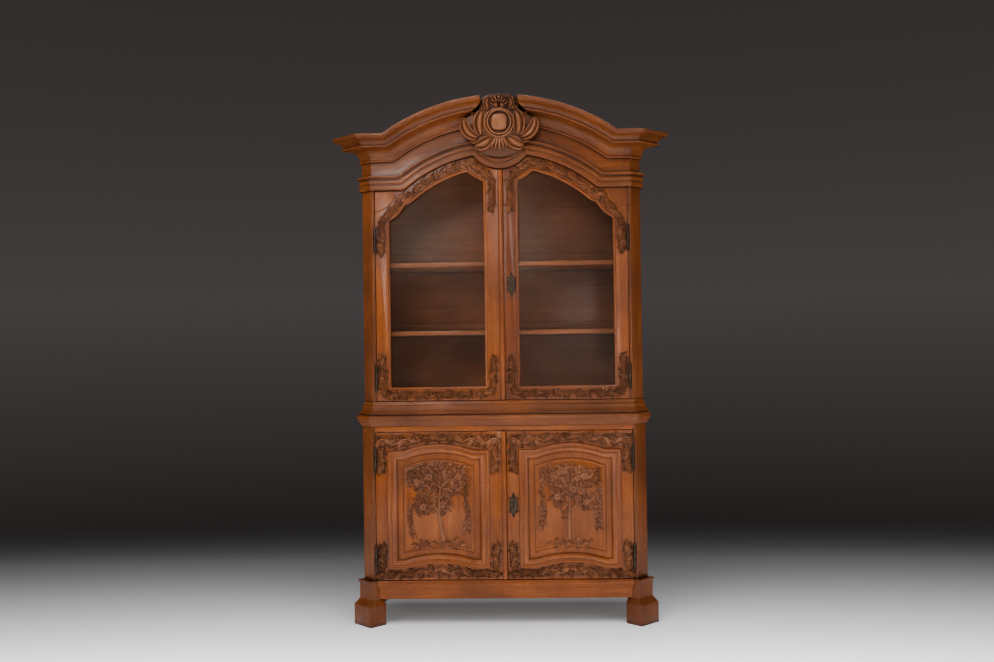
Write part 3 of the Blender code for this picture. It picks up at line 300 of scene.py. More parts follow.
def half_round(v):
    return math.sqrt(max(0.0, 1 - v * v))


def post_bead(bm, middle_x, low, high):
    """A slim bead up the front of a right-hand post."""

    def place(u, v):
        across = middle_x + v * BEAD_W / 2
        return (across, low.y - half_round(v) * BEAD_PROUD, low.z + u * (high.z - low.z)), 1.0

    skin(bm, 2, 8, place)
    bmesh.ops.reverse_faces(bm, faces=bm.faces)


SIDES = (("left", -1), ("right", 1))
for level in ("base", "upper"):
    for word, side in SIDES:
        low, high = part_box(f"{level}_corner_post_{word}")
        outer_x = high.x if side > 0 else -low.x
        bm = carving()
        post_bead(bm, outer_x - CANT - BEAD_FROM_CANT, low, high)
        if side < 0:
            mirror_over(bm)
        settle(bm, f"{level}_post_bead_{word}", "carcass", [CASE_UPRIGHT])

# Entablature: a stepped architrave with a round dip in its middle, a plain frieze and a deep cornice.
# The arched lengths are sawn to the curve, and the returns are mitred to them round the canted corners.
for node in ("architrave", "cornice_arch", "frieze_board"):
    finish_node(node, CASE_ACROSS)
for side in ("left", "right"):
    finish_node(f"cornice_return_{side}", CASE_DEEP)

# Crest: a cartouche carved from one thick block, pegged to the frieze in the notch of the cornice: a plain
# cushion in a double rim, with spoon-shaped petals beside it, a fluted fan below and a shell on top.
# Carved oak is dark in its cuts with old wax and painted shade, while its high places are rubbed to a
# gloss.
CREST_MIDDLE_Z = 2.2691
CREST_FACE = 0.056
CREST_LEAN = 0.19
CREST_ROUND_STEPS = 72
CREST_LEAF_H = 0.017
CREST_SWELL = 0.006
CREST_SEAM = 0.00005
CUT_IN = 0.0008
CARVED_SHARP = math.radians(65)
CARVED_TONES = ("#AC6B44", "#844C2B", "#3C1D10")
CARVED_OAK = waxed_oak("carved_oak", 2, CARVED_TONES, carved=True)
MOULDED_OAK = waxed_oak("moulded_oak", 2, carved=True)


def stroke(start, heading, length, bend, tighten=1.0):
    """Spine of a carved stroke: at(u) gives a place and a heading; tighten curls its tip."""
    count = 28
    s, t = start
    turn = heading
    spine = []
    for i in range(count + 1):
        spine.append((s, t, turn))
        turn += bend * (((i + 1) / count) ** tighten - (i / count) ** tighten)
        s += length / count * math.cos(turn)
        t += length / count * math.sin(turn)

    def at(u):
        i = min(int(u * count), count - 1)
        part = u * count - i
        return [a + (b - a) * part for a, b in zip(spine[i], spine[i + 1])]

    return at


def leaf(bm, lay, start, heading, length, width, bend, height, lobes=2, fold=0.5):
    """A carved leaf: lobed edges cut down to the ground, a hollow along the rib and a raised tip."""
    at = stroke(start, heading, length, bend)

    def place(u, v):
        s, t, turn = at(u)
        full = math.sin(math.pi * (0.05 + 0.95 * u) ** 0.7)
        cut = 1 - 0.3 * abs(v) * (0.5 - 0.5 * math.cos(2 * math.pi * lobes * u))
        across = v * width / 2 * full * cut
        ridge = half_round(v) * (1 - fold * math.exp(-(v / 0.25) ** 2))
        lift = height * (ridge * math.sqrt(max(full, 0)) + 0.3 * u * u * (1 - v * v))
        where = lay(s - across * math.sin(turn), t + across * math.cos(turn), lift - CUT_IN)
        # The edges and the rib's hollow get low relief, and so painted shade
        return where, 0.15 + 0.85 * ridge * min(1, full + 0.3)

    skin(bm, max(8, 4 * lobes), 6, place)


def petal(bm, lay, start, heading, length, width, bend, height):
    """A spoon-shaped petal: a narrow raised rim, a hollow inside it drawn dark with painted shade, and a
    long swelling.
    """
    at = stroke(start, heading, length, bend)

    def place(u, v):
        s, t, turn = at(u)
        full = math.sin(math.pi * (0.03 + 0.955 * u)) ** 0.45
        across = v * width / 2 * full
        rim = math.exp(-((abs(v) - 0.76) / 0.17) ** 2)
        swell = 0.9 * math.exp(-(v / 0.34) ** 2) * math.sin(math.pi * u) ** 0.5
        lift = height * half_round(v ** 4) * (0.35 + 0.65 * max(rim, swell)) * full ** 0.6
        where = lay(s - across * math.sin(turn), t + across * math.cos(turn), lift - CUT_IN)
        return where, half_round(v ** 4) * max(rim, swell, 0.12)

    skin(bm, 20, 20, place)


def stem(bm, lay, at, width, height, taper=0.5):
    """A round stem along a spine, thinner towards its tip."""

    def place(u, v):
        s, t, turn = at(u)
        thick = 1 - taper * u
        across = v * width / 2 * thick
        lift = half_round(v) * height * thick - CUT_IN
        # Its flanks get low relief, drawn dark with painted shade
        return lay(s - across * math.sin(turn), t + across * math.cos(turn), lift), half_round(v)

    skin(bm, 18, 4, place)


def dome(bm, lay, centre, half_s, half_t, height, steps=10, flat=1.0, corner=1.0):
    """A round swelling: a berry, a flower's eye, or, with a flat top and blunt corners, a cushion."""

    def place(u, v):
        out = (1 - v) / 2
        turn = 2 * math.pi * u
        across = math.copysign(abs(math.cos(turn)) ** corner, math.cos(turn))
        along = math.copysign(abs(math.sin(turn)) ** corner, math.sin(turn))
        lift = half_round(out ** flat)
        s = centre[0] + half_s * out * across
        t = centre[1] + half_t * out * along
        # Its foot gets low relief, drawn dark with painted shade
        return lay(s, t, lift * height - CUT_IN), math.sqrt(lift)

    skin(bm, steps, max(4, steps // 4), place)


def ring(bm, lay, centre, half_s, half_t, width, height, pinch):
    """A raised oval rim, drawn in below like a shield."""

    def place(u, v):
        turn = 2 * math.pi * u
        drawn_in = 1 - pinch * max(0, -math.sin(turn))
        s = centre[0] + (half_s - v * width / 2) * math.cos(turn) * drawn_in
        t = centre[1] + (half_t - v * width / 2) * math.sin(turn)
        # Its flanks get low relief, drawn dark with painted shade
        return lay(s, t, half_round(v) * height - CUT_IN), half_round(v)

    skin(bm, CREST_ROUND_STEPS, 8, place)


def hand(side, start, heading, bend):
    """A stroke's start, heading and bend on the right (1) or mirrored on the left (-1)."""
    return (side * start[0], start[1]), heading if side > 0 else math.pi - heading, side * bend


crest_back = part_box("crest_cartouche")[1].y
CREST_OUTLINE = (
    (0.000, -0.152), (0.052, -0.144), (0.094, -0.122), (0.112, -0.086), (0.150, -0.068), (0.168, -0.022),
    (0.148, 0.022), (0.112, 0.044), (0.087, 0.062), (0.086, 0.102), (0.054, 0.122), (0.000, 0.127),
)


def on_crest(s, t, h):
    return s, crest_back - CREST_FACE - CREST_LEAN * t - h, CREST_MIDDLE_Z + t


def crest_edge(u):
    """Place on the crest's outline, once round from the bottom."""
    half = 2 * u if u <= 0.5 else 2 - 2 * u
    last = len(CREST_OUTLINE) - 1
    i = min(int(half * last), last - 1)
    part = half * last - i
    (s0, t0), (s1, t1) = CREST_OUTLINE[i], CREST_OUTLINE[i + 1]
    side = 1 if u <= 0.5 else -1
    return side * (s0 + (s1 - s0) * part), t0 + (t1 - t0) * part


def crest_ground(u, v):
    """The block's front from its middle (v = 1) to its edge, then its edge and its back."""
    s, t = crest_edge(u)
    if v < -0.75:
        out = (1 + v) / 0.2
        return (s * out, crest_back, CREST_MIDDLE_Z + t * out), 0.5
    # The front gets low relief, drawn dark with painted shade, darkest towards its edge
    out = min(1.0, (1 - v) / 1.6)
    x, y, z = on_crest(s * out, t * out, CREST_SWELL * (1 - out ** 2 - out ** 6))
    if v < -0.65:
        return (x, (y + crest_back) / 2, z), 0.4
    return (x, y, z), 0.24 - 0.12 * out


bm = carving()
skin(bm, CREST_ROUND_STEPS, 20, crest_ground)
dome(bm, on_crest, (0, 0.001), 0.040, 0.041, 0.026, 48, 2.4, 0.62)
ring(bm, on_crest, (0, 0.000), 0.053, 0.053, 0.014, 0.022, 0.04)
ring(bm, on_crest, (0, -0.003), 0.067, 0.062, 0.014, 0.021, 0.14)
for side in (1, -1):
    # Outer, inner and lower petals, then the curls beside the shell
    for start, heading, length, width, bend, height in (
        ((0.096, -0.064), 0.05, 0.120, 0.054, 1.75, 0.022),
        ((0.080, -0.056), 1.15, 0.112, 0.066, 0.95, 0.027),
        ((0.040, -0.064), -1.00, 0.084, 0.064, 1.00, 0.023),
        ((0.040, 0.056), 0.55, 0.062, 0.034, 1.90, 0.020),
    ):
        start, heading, bend = hand(side, start, heading, bend)
        petal(bm, on_crest, start, heading, length, width, bend, height)
    # Leaves in the notch and between the petals
    for start, heading, length, width, bend in (
        ((0.036, 0.060), 0.10, 0.050, 0.026, 0.7), ((0.040, 0.074), 0.55, 0.050, 0.026, 0.6),
        ((0.060, 0.058), 0.30, 0.034, 0.020, 1.2),
        ((0.098, 0.020), 0.40, 0.046, 0.022, 1.0), ((0.100, -0.080), -0.40, 0.040, 0.020, 1.0),
    ):
        start, heading, bend = hand(side, start, heading, bend)
        leaf(bm, on_crest, start, heading, length, width, bend, CREST_LEAF_H)
    dome(bm, on_crest, (side * 0.0135, 0.072), 0.0120, 0.0120, 0.033, 16)
for i in range(5):
    # Ribs of the shell above and flutes of the fan below
    turn = math.radians(90 + (i - 2) * 25)
    petal(bm, on_crest, (0.004 * (2 - i), 0.078), turn, 0.046 - 0.003 * abs(i - 2), 0.036, 0, 0.026)
    turn = math.radians(-90 + (i - 2) * 13)
    reach = 0.070 - 0.003 * abs(i - 2)
    leaf(bm, on_crest, (0.007 * (i - 2), -0.061), turn, reach, 0.024, 0, 0.020, 1, 0.0)
bmesh.ops.remove_doubles(bm, verts=bm.verts, dist=CREST_SEAM)
crest = settle(bm, "crest_carving", "carcass", [CARVED_OAK], CARVED_SHARP)
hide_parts("crest_cartouche")

# Glazed doors: oak frames, pegged at the corners, with a shaped head under the arched architrave.
# A bead is worked round the glass, leaves are carved along the head, the corners and the bottom rail.
# The panes are old drawn sheet glass, held in the rebate behind.
STILE_W = 0.0637
BOTTOM_RAIL_H = 0.061
HEAD_SHOULDER = 0.150
ARCH_RISE = 0.164
LOBE_R = 0.153
LOBE_CENTRE_RISE = 0.081
HEAD_BAND = 0.063
LOBE_BAND = 0.068
LEDGE_BAND = 0.1513
LEDGE_INSET = 0.160
LEDGE_TURN = math.radians(24.4)
DOOR_GAP = 0.003
CORNER_DISC_R = 0.088
ARC_STEPS = 16
door_low, door_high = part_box("upper_right_door_frame")
head_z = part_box("upper_corner_post_right")[1].z
flat_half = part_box("upper_corner_post_right")[1].x - CANT
arch_half = flat_half - HEAD_SHOULDER
arch_r = (arch_half ** 2 + ARCH_RISE ** 2) / (2 * ARCH_RISE)
arch_z = head_z + ARCH_RISE - arch_r
lobe_z = head_z + ARCH_RISE + LOBE_CENTRE_RISE
upper_front = door_low.y


def arc(centre, radius, start, end, steps):
    return [
        (
            centre[0] + radius * math.cos(start + (end - start) * i / steps),
            centre[1] + radius * math.sin(start + (end - start) * i / steps),
        )
        for i in range(steps + 1)
    ]


def cusp(outer_r, inner_r):
    """Where an arch about the arch's centre meets a round about the lobe's centre, on the right."""
    rise = lobe_z - arch_z
    up = (outer_r ** 2 - inner_r ** 2 + rise ** 2) / (2 * rise)
    return math.sqrt(outer_r ** 2 - up ** 2), arch_z + up


def light_outline(grow):
    """Outline of a right-hand door's glass opening, grown by a margin."""
    inner = door_low.x + STILE_W - grow
    outer = door_high.x - STILE_W + grow
    bottom = door_low.z + BOTTOM_RAIL_H - grow
    big_r = arch_r - HEAD_BAND + grow
    small_r = LOBE_R + LOBE_BAND - grow
    corner = (door_high.x, head_z)
    corner_r = LEDGE_BAND - grow
    start = -math.pi + math.acos((corner[0] - outer) / corner_r)
    ledge = math.acos((door_high.x - LEDGE_INSET) / (arch_r - HEAD_BAND))
    tip = cusp(big_r, small_r)
    peak = math.atan2(tip[1] - arch_z, tip[0])
    turn = math.atan2(tip[1] - lobe_z, tip[0])
    outline = [(inner, bottom), (outer, bottom)]
    outline += arc(corner, corner_r, start, LEDGE_TURN - math.pi, ARC_STEPS)
    outline += arc((0, arch_z), big_r, ledge, peak, ARC_STEPS)
    outline += arc((0, lobe_z), small_r, turn, -math.acos(inner / small_r), ARC_STEPS)[1:]
    return outline


def run_moulding(bm, outline, profile, front):
    """A moulding round a closed outline; profile lists (grow, proud, relief) from outside to inside."""
    # Low relief in a profile is drawn dark as painted shade
    lines = [outline(grow) for grow, proud, relief in profile]
    count = len(lines[0])
    last = len(profile) - 1

    def place(u, v):
        i = round(u * count) % count
        j = round((v + 1) / 2 * last)
        x, z = lines[j][i]
        return (x, front - profile[j][1], z), profile[j][2]

    skin(bm, count, last, place, 1)
    bmesh.ops.remove_doubles(bm, verts=bm.verts, dist=SAME_SPOT)


def straight(front, start, heading):
    """Lay a carved band along a straight line on a door's face."""

    def lay(s, t, h):
        x = start[0] + s * math.cos(heading) - t * math.sin(heading)
        return x, front - h, start[1] + s * math.sin(heading) + t * math.cos(heading)

    return lay


def along(front, points):
    """Lay a carved band along a bent line on a door's face; also gives the line's length."""
    points = [Vector(point) for point in points]
    reach = [0.0]
    for a, b in zip(points, points[1:]):
        reach.append(reach[-1] + (b - a).length)
    last = len(points) - 1
    ways = [(points[min(i + 1, last)] - points[max(i - 1, 0)]).normalized() for i in range(last + 1)]

    def lay(s, t, h):
        i = 0
        while i < last - 1 and s > reach[i + 1]:
            i += 1
        part = (s - reach[i]) / (reach[i + 1] - reach[i])
        spot = points[i].lerp(points[i + 1], part)
        way = ways[i].lerp(ways[i + 1], min(max(part, 0), 1)).normalized()
        return spot.x - t * way.y, front - h, spot.y + t * way.x

    return lay, reach[-1]


def spiral(centre, radius, start, sweep):
    """Spine of a scroll that winds in round a centre; sweep is its turn, positive anticlockwise."""

    def at(u):
        turn = start + sweep * u
        reach = radius * (1 - 0.7 * u)
        s = centre[0] + reach * math.cos(turn)
        t = centre[1] + reach * math.sin(turn)
        return s, t, turn + math.copysign(math.pi / 2, sweep)

    return at


def ground(bm, lay, length, width, proud):
    """Sunk ground of a carved band, dark with old wax and painted shade, fading out into the plain wood at
    its edges.
    """

    def place(u, v):
        ends = min(u, 1 - u) * length / width
        inside = min(1.0, (1 - abs(v)) * 4, ends * 3)
        return lay(u * length, v * width / 2, proud * inside - CUT_IN * (1 - inside)), 0.5 - 0.29 * inside

    skin(bm, max(12, round(length / 0.012)), 10, place, 1)


def by_hand(i, spread):
    """A small uneven amount, the same on every run, as no two cuts of a carver are alike."""
    return spread * math.sin(i * 12.9 + 3.7 * math.sin(i * 4.1))


def spray(bm, lay, start, heading, size, height):
    """Three leaves that end a band."""
    for lean in (-0.65, 0.65, 0.0):
        leaf(bm, lay, start, heading + lean, size, size * 0.42, -lean, height)


GROUND_PROUD = 0.0004
CROSSING_PROUD = 0.0006  # the upper one of two bands that cross


def running_foliage(bm, lay, length, width, height, proud=GROUND_PROUD):
    """A wavy stem along a band, with a curled shoot in each hollow and leaves of uneven size all along."""
    ground(bm, lay, length, width, proud)
    waves = max(2, round(length / (width * 1.05)))
    pitch = length / waves
    swing = width * 0.16

    def vine(u, v):
        t = swing * math.sin(math.pi * u * waves)
        return lay(u * length, t + v * width * 0.055, half_round(v) * height * 0.8 - CUT_IN), half_round(v)

    skin(bm, 10 * waves, 4, vine)
    for i in range(waves):
        side = 1 if i % 2 == 0 else -1
        middle = (i + 0.5 + by_hand(i, 0.06)) * pitch
        at = spiral((middle, -side * width * 0.17), width * 0.29, side * 2.2, side * 4.6)
        stem(bm, lay, at, width * 0.1, height, 0.3)
        dome(bm, lay, at(1)[:2], width * 0.085, width * 0.085, height * 1.15, 8)
        for share in (0.2, 0.5, 0.8):
            s, t, turn = at(share)
            size = width * (0.28 + by_hand(i + share, 0.05))
            leaf(bm, lay, (s, t), turn - side * 0.8, size, size * 0.6, side * 1.3, height)
    count = round(length / (width * 0.21))
    for i in range(count):
        s = length * (i + 0.5 + by_hand(i, 0.25)) / count
        t = swing * math.sin(math.pi * s / pitch)
        for side in (1, -1):
            room = width / 2 - side * t
            size = room * (1.05 + by_hand(i * side + 0.5, 0.25))
            lean = side * (1.0 + by_hand(i * 2 + side, 0.35))
            leaf(bm, lay, (s, t), lean, size, size * 0.44, -side * (0.9 + by_hand(i + side, 0.6)), height)
    for s, heading in ((width * 0.3, math.pi), (length - width * 0.3, 0)):
        spray(bm, lay, (s, 0), heading, width * 0.45, height)


# Steps of the bead round the glass: grow, proud and relief; the low relief at its edges is painted shade
GLAZING_BEAD = (
    (0.0088, -0.0008, 0.1), (0.0080, 0.0018, 0.6), (0.0062, 0.0036, 1.0), (0.0042, 0.0040, 1.0),
    (0.0024, 0.0030, 0.9), (0.0012, 0.0010, 0.2), (-0.0010, 0.0008, 0.6), (-0.0015, -0.0040, 0.3),
)
BEAD_REACH = 0.009
DISC_BEAD_W = 0.009
DISC_BEAD_H = 0.0045
DISC_SHIFT_X = 0.001
DISC_SHIFT_Z = 0.004
LEAF_H = 0.0082
QUIRK_X = 0.0132
QUIRK_W = 0.0048
QUIRK_PROUD = 0.0003
FRAME_EDGE = 0.0009
PANE_EDGE = 0.0003
HEAD_EDGE = DOOR_GAP + 0.001
corner = (door_high.x, head_z)
outer_mid = door_high.x - (STILE_W - BEAD_REACH) / 2
inner_mid = door_low.x + (STILE_W - BEAD_REACH) / 2
rail_mid = door_low.z + (BOTTOM_RAIL_H - BEAD_REACH) / 2
arch_mid = arch_r - (HEAD_BAND - BEAD_REACH + HEAD_EDGE) / 2
lobe_mid = LOBE_R + (LOBE_BAND - BEAD_REACH + HEAD_EDGE) / 2
corner_mid = (CORNER_DISC_R + LEDGE_BAND - BEAD_REACH) / 2 + 0.002
band_w = HEAD_BAND - BEAD_REACH - HEAD_EDGE
peak = cusp(arch_mid, lobe_mid)
HEAD_LINE = [(outer_mid, head_z - 0.300), (outer_mid, head_z - 0.150)]
HEAD_LINE += arc(corner, corner_mid, math.radians(-124), math.radians(-166), 4)
HEAD_LINE += arc(
    (0, arch_z), arch_mid, math.radians(50.5), math.atan2(peak[1] - arch_z, peak[0]) + 0.02, 10,
)
LOBE_LINE = arc(
    (0, lobe_z), lobe_mid, math.atan2(peak[1] - lobe_z, peak[0]) + 0.02, math.radians(-72), 8,
)
LOBE_LINE += [(inner_mid, head_z + 0.035), (inner_mid, head_z - 0.100)]
FOOT_LINE = [
    (inner_mid, rail_mid + 0.175), (inner_mid, rail_mid + 0.042), (inner_mid + 0.010, rail_mid + 0.010),
    (inner_mid + 0.042, rail_mid), (outer_mid - 0.042, rail_mid), (outer_mid - 0.010, rail_mid + 0.010),
    (outer_mid, rail_mid + 0.042), (outer_mid, rail_mid + 0.175),
]


def carve_glazed_door(bm):
    """All the carving of the right-hand glazed door."""
    run_moulding(bm, light_outline, GLAZING_BEAD, upper_front)
    for line, width, proud in (
        (HEAD_LINE, band_w, GROUND_PROUD), (LOBE_LINE, band_w, CROSSING_PROUD),
        (FOOT_LINE, band_w * 0.94, GROUND_PROUD),
    ):
        lay, length = along(upper_front, line)
        running_foliage(bm, lay, length, width, LEAF_H, proud)

    def disc_bead(u, v):
        turn = math.pi + u * math.pi / 2
        reach = CORNER_DISC_R + v * DISC_BEAD_W / 2
        x = corner[0] - DISC_SHIFT_X + reach * math.cos(turn)
        z = corner[1] - DISC_SHIFT_Z + reach * math.sin(turn)
        return (x, upper_front - half_round(v) * DISC_BEAD_H + CUT_IN, z), 1.0

    skin(bm, 20, 6, disc_bead, 1)


def quirk_shade(bm, front, low, high):
    """Painted shade of the groove beside the bead that covers the joint of a pair of doors, as a thin dark
    strip.
    """

    def place(u, v):
        x = -QUIRK_X - v * QUIRK_W / 2
        return (x, front - QUIRK_PROUD * (1 - v * v), low + u * (high - low)), abs(v) * 0.5

    skin(bm, 2, 6, place)


def frame_of_boards(node, rails_between, inner_stile):
    """A door frame: grain upright in its stiles, level in its rails, and an inner stile of its own wood."""
    bm = merged(node)
    for x in rails_between:
        geometry = bm.verts[:] + bm.edges[:] + bm.faces[:]
        bmesh.ops.bisect_plane(bm, geom=geometry, dist=SAME_SPOT, plane_co=(x, 0, 0), plane_no=(1, 0, 0))
    wear_edges(bm, FRAME_EDGE)
    first, last = sorted(rails_between)
    for face in bm.faces:
        across = face.calc_center_median().x
        if first < across < last:
            face.material_index = 1
        elif abs(across) < min(abs(first), abs(last)):
            face.material_index = 2
    piece = settle(bm, f"{node}_worn", body_of[node], [OAK_UPRIGHT, OAK_ACROSS, inner_stile])
    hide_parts(node)


FILM_MM = 180
GLASS_BODY = "#1C1512"
GLASS_SHEEN = "#F4E0CC"
REDDISH_TONES = ("#7E3E17", "#642D0E", "#331506")


def sheet_glass():
    """Old drawn sheet glass: clear and faintly dusty, so it lays a soft grey haze over the dark inside."""
    material, tree, shader, place = new_material("drawn_sheet_glass")
    wave = add_node(tree, "ShaderNodeTexNoise", {"Vector": place, "Scale": per_metre(FILM_MM), "Detail": 1})
    film = add_node(tree, "ShaderNodeMapRange", {0: wave, 1: 0.3, 2: 0.7, 3: 0.3, 4: 0.33})
    tree.links.new(film, shader.inputs["Roughness"])
    shader.inputs["Base Color"].default_value = linear(GLASS_BODY)
    shader.inputs["IOR"].default_value = 1.5
    shader.inputs["Specular IOR Level"].default_value = 0.7
    shader.inputs["Specular Tint"].default_value = linear(GLASS_SHEEN)
    shader.inputs["Alpha"].default_value = 0.13
    return material


GLASS = sheet_glass()
REDDISH_OAK = waxed_oak("reddish_waxed_oak_upright", 2, REDDISH_TONES)
DOOR_CARVING = [CARVED_OAK, MOULDED_OAK]
for word, side in SIDES:
    rails = [side * (door_low.x + STILE_W), side * (door_high.x - STILE_W)]
    frame_of_boards(f"upper_{word}_door_frame", rails, REDDISH_OAK if side > 0 else OAK_UPRIGHT)
    bm = carving()
    carve_glazed_door(bm)
    if side < 0:
        mirror_over(bm)
        quirk_shade(bm, upper_front, door_low.z, lobe_z - LOBE_R - HEAD_EDGE)
    settle(bm, f"upper_{word}_door_carving", f"upper_{word}_door", DOOR_CARVING, CARVED_SHARP)
    finish_node(f"upper_{word}_glass", GLASS, PANE_EDGE)

# Panelled doors: oak frames round a fielded panel whose top and bottom edges are bowed.
# A moulding is worked round the panel, and the field carries a flowering tree in low relief.
# The panels sit loose in grooves, and leaves are carved on the rails and the ends of the stiles.
PANEL_STILE_W = 0.069
PANEL_RAIL_LOW = 0.063
PANEL_RAIL_HIGH = 0.0985
PANEL_EAR = 0.060
PANEL_RISE_HIGH = 0.030
PANEL_RISE_LOW = 0.026
PANEL_BOW_SHARE = 0.97
FIELD_INSET = 0.059
FIELD_SINK = 0.003
lower_low, lower_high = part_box("lower_right_door_frame")
lower_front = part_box("base_corner_post_right")[0].y
panel_left = lower_low.x + PANEL_STILE_W
panel_right = lower_high.x - PANEL_STILE_W
panel_low = lower_low.z + PANEL_RAIL_LOW
panel_high = lower_high.z - PANEL_RAIL_HIGH
panel_mid = (panel_left + panel_right) / 2
panel_chord = (panel_right - panel_left) / 2 - PANEL_EAR


def bowed(z, rise, grow, sign):
    """Centre and radius of a bowed edge of the panel, and the lean of its ends."""
    radius = (panel_chord ** 2 + rise ** 2) / (2 * rise)
    centre = z + rise - radius
    radius += sign * grow
    half = (panel_right - panel_left) / 2 + grow
    lean = math.acos((z + sign * grow - centre) / radius)
    return centre, radius, min(lean, math.asin(half * PANEL_BOW_SHARE / radius))


def panel_outline(grow):
    """Outline of a right-hand door's panel opening, grown by a margin."""
    low_centre, low_radius, low_lean = bowed(panel_low, PANEL_RISE_LOW, grow, -1)
    high_centre, high_radius, high_lean = bowed(panel_high, PANEL_RISE_HIGH, grow, 1)
    upright = math.pi / 2
    low = panel_low - grow
    high = panel_high + grow
    outline = [(panel_left - grow, high), (panel_left - grow, low)]
    outline += arc((panel_mid, low_centre), low_radius, upright + low_lean, upright - low_lean, ARC_STEPS)
    outline += [(panel_right + grow, low), (panel_right + grow, high)]
    outline += arc(
        (panel_mid, high_centre), high_radius, upright - high_lean, upright + high_lean, ARC_STEPS,
    )
    return outline


def bowed_z(x, z, rise, grow, sign):
    """Height of a bowed edge at a place across the door."""
    centre, radius, lean = bowed(z, rise, grow, sign)
    across = abs(x - panel_mid)
    if across > radius * math.sin(lean):
        return z + sign * grow
    return centre + math.sqrt(radius ** 2 - across ** 2)


def between(front, low_at, high_at, start, width):
    """Lay a band of a given width between two edges that come nearer and part again."""

    def lay(s, t, h):
        x = start + s
        low = low_at(x)
        high = high_at(x)
        return x, front - h, (low + high) / 2 + t / width * (high - low)

    return lay


def flower(bm, lay, centre, radius, height):
    """An open flower: six hollow petals round a raised eye."""
    for i in range(6):
        leaf(bm, lay, centre, math.pi * (i + 0.25) / 3, radius, radius * 0.85, 0.3, height, 2, 0.35)
    dome(bm, lay, centre, radius * 0.32, radius * 0.32, height * 1.5, 8)


def shaded_ground(bm, lay, centre, half_s, half_t, proud):
    """A round patch of ground round a carved figure, painted shade darkest in its middle."""

    def place(u, v):
        out = (1 - v) / 2
        turn = 2 * math.pi * u
        reach = out * (1 + by_hand(u % 1 * 5, 0.06) * out)
        where = lay(
            centre[0] + half_s * reach * math.cos(turn), centre[1] + half_t * reach * math.sin(turn),
            proud * (1 - out ** 4) - CUT_IN * out ** 4,
        )
        return where, 0.17 + 0.33 * out ** 3

    skin(bm, 32, 10, place, 1)


LEAVES_PER_M2 = 16000
BUNCH_LEAF = 0.027
LEAF_SPREAD = 0.006
CURL_R = 0.0105
CURL_W = 0.0046
BERRY_R = 0.0042


def bunch(bm, lay, centre, half_s, half_t, height):
    """A bunch of leaves and curled shoots that fills an oval on a ground of painted shade."""
    shaded_ground(bm, lay, centre, half_s * 1.15, half_t * 1.15, height * 0.05)
    count = round(half_s * half_t * LEAVES_PER_M2)
    for i in range(count):
        # Set round the middle in a sunflower's order
        reach = math.sqrt((i + 0.5) / count)
        turn = i * 2.39996
        spot = (centre[0] + half_s * reach * math.cos(turn), centre[1] + half_t * reach * math.sin(turn))
        if i % 4 == 3:
            at = spiral(spot, CURL_R, turn + by_hand(i, 2.0), math.copysign(4.4, math.sin(turn)))
            stem(bm, lay, at, CURL_W, height, 0.2)
            dome(bm, lay, at(1)[:2], BERRY_R, BERRY_R, height * 1.1, 8)
        else:
            size = BUNCH_LEAF + by_hand(i + centre[0], LEAF_SPREAD)
            leaf(bm, lay, spot, turn + by_hand(i, 1.3), size, size * 0.5, by_hand(i + 7, 1.4), height)


# The moulding round the panel: a bead on the frame, a quirk dark with painted shade and a broad ovolo,
# then the sunk margin and the rounded edge of the raised field
PANEL_BEAD = (
    (0.0156, -0.0010, 0.05), (0.0150, 0.0026, 0.2), (0.0140, 0.0054, 0.7), (0.0118, 0.0078, 1.0),
    (0.0090, 0.0084, 1.0), (0.0062, 0.0074, 0.9), (0.0042, 0.0048, 0.4), (0.0030, 0.0022, 0.12),
    (0.0008, 0.0012, 0.12), (-0.0010, 0.0014, 0.2), (-0.0030, 0.0036, 0.6), (-0.0065, 0.0060, 1.0),
    (-0.0110, 0.0072, 1.0), (-0.0160, 0.0070, 1.0), (-0.0205, 0.0052, 1.0), (-0.0240, 0.0022, 0.8),
    (-0.0262, -0.0020, 0.4), (-0.0278, -0.0062, 0.12), (-0.0300, -0.0077, 0.2), (-0.0340, -0.0077, 0.5),
    (-0.0500, -0.0077, 0.5), (-0.0532, -0.0076, 0.15), (-0.0546, -0.0072, 0.15), (-0.0568, -0.0048, 0.6),
    (-0.0586, -0.0030, 0.6), (-0.0610, -0.0025, 0.5), (-0.0660, -0.0027, 0.5), (-0.0680, -0.0036, 0.5),
)
MOULD_REACH = 0.016
BAND_KEEP = 0.004
LOW_BAND_KEEP = 0.003
HIGH_BAND_W = 0.048
LOW_BAND_W = 0.042
HIGH_DROP = 0.112
LOW_RISE = 0.118


def carve_panelled_frame(bm):
    """Mouldings and leaves of the right-hand panelled door's frame."""
    run_moulding(bm, panel_outline, PANEL_BEAD, lower_front)
    start = lower_low.x + BAND_KEEP
    length = lower_high.x - lower_low.x - 2 * BAND_KEEP

    def over_panel(x):
        return bowed_z(x, panel_high, PANEL_RISE_HIGH, MOULD_REACH, 1)

    def under_panel(x):
        return bowed_z(x, panel_low, PANEL_RISE_LOW, MOULD_REACH, -1)

    top = lower_high.z - BAND_KEEP
    bottom = lower_low.z + LOW_BAND_KEEP
    lay = between(lower_front, over_panel, lambda x: top, start, HIGH_BAND_W)
    running_foliage(bm, lay, length, HIGH_BAND_W, LEAF_H)
    lay = between(lower_front, lambda x: bottom, under_panel, start, LOW_BAND_W)
    running_foliage(bm, lay, length, LOW_BAND_W, LEAF_H)
    flat = PANEL_STILE_W - MOULD_REACH
    for x in (lower_low.x + flat / 2, lower_high.x - flat / 2):
        lay = straight(lower_front, (x, panel_high + PANEL_RISE_HIGH), -math.pi / 2)
        running_foliage(bm, lay, HIGH_DROP, flat * 0.96, LEAF_H, CROSSING_PROUD)
        lay = straight(lower_front, (x, panel_low - PANEL_RISE_LOW), math.pi / 2)
        running_foliage(bm, lay, LOW_RISE, flat * 0.96, LEAF_H, CROSSING_PROUD)


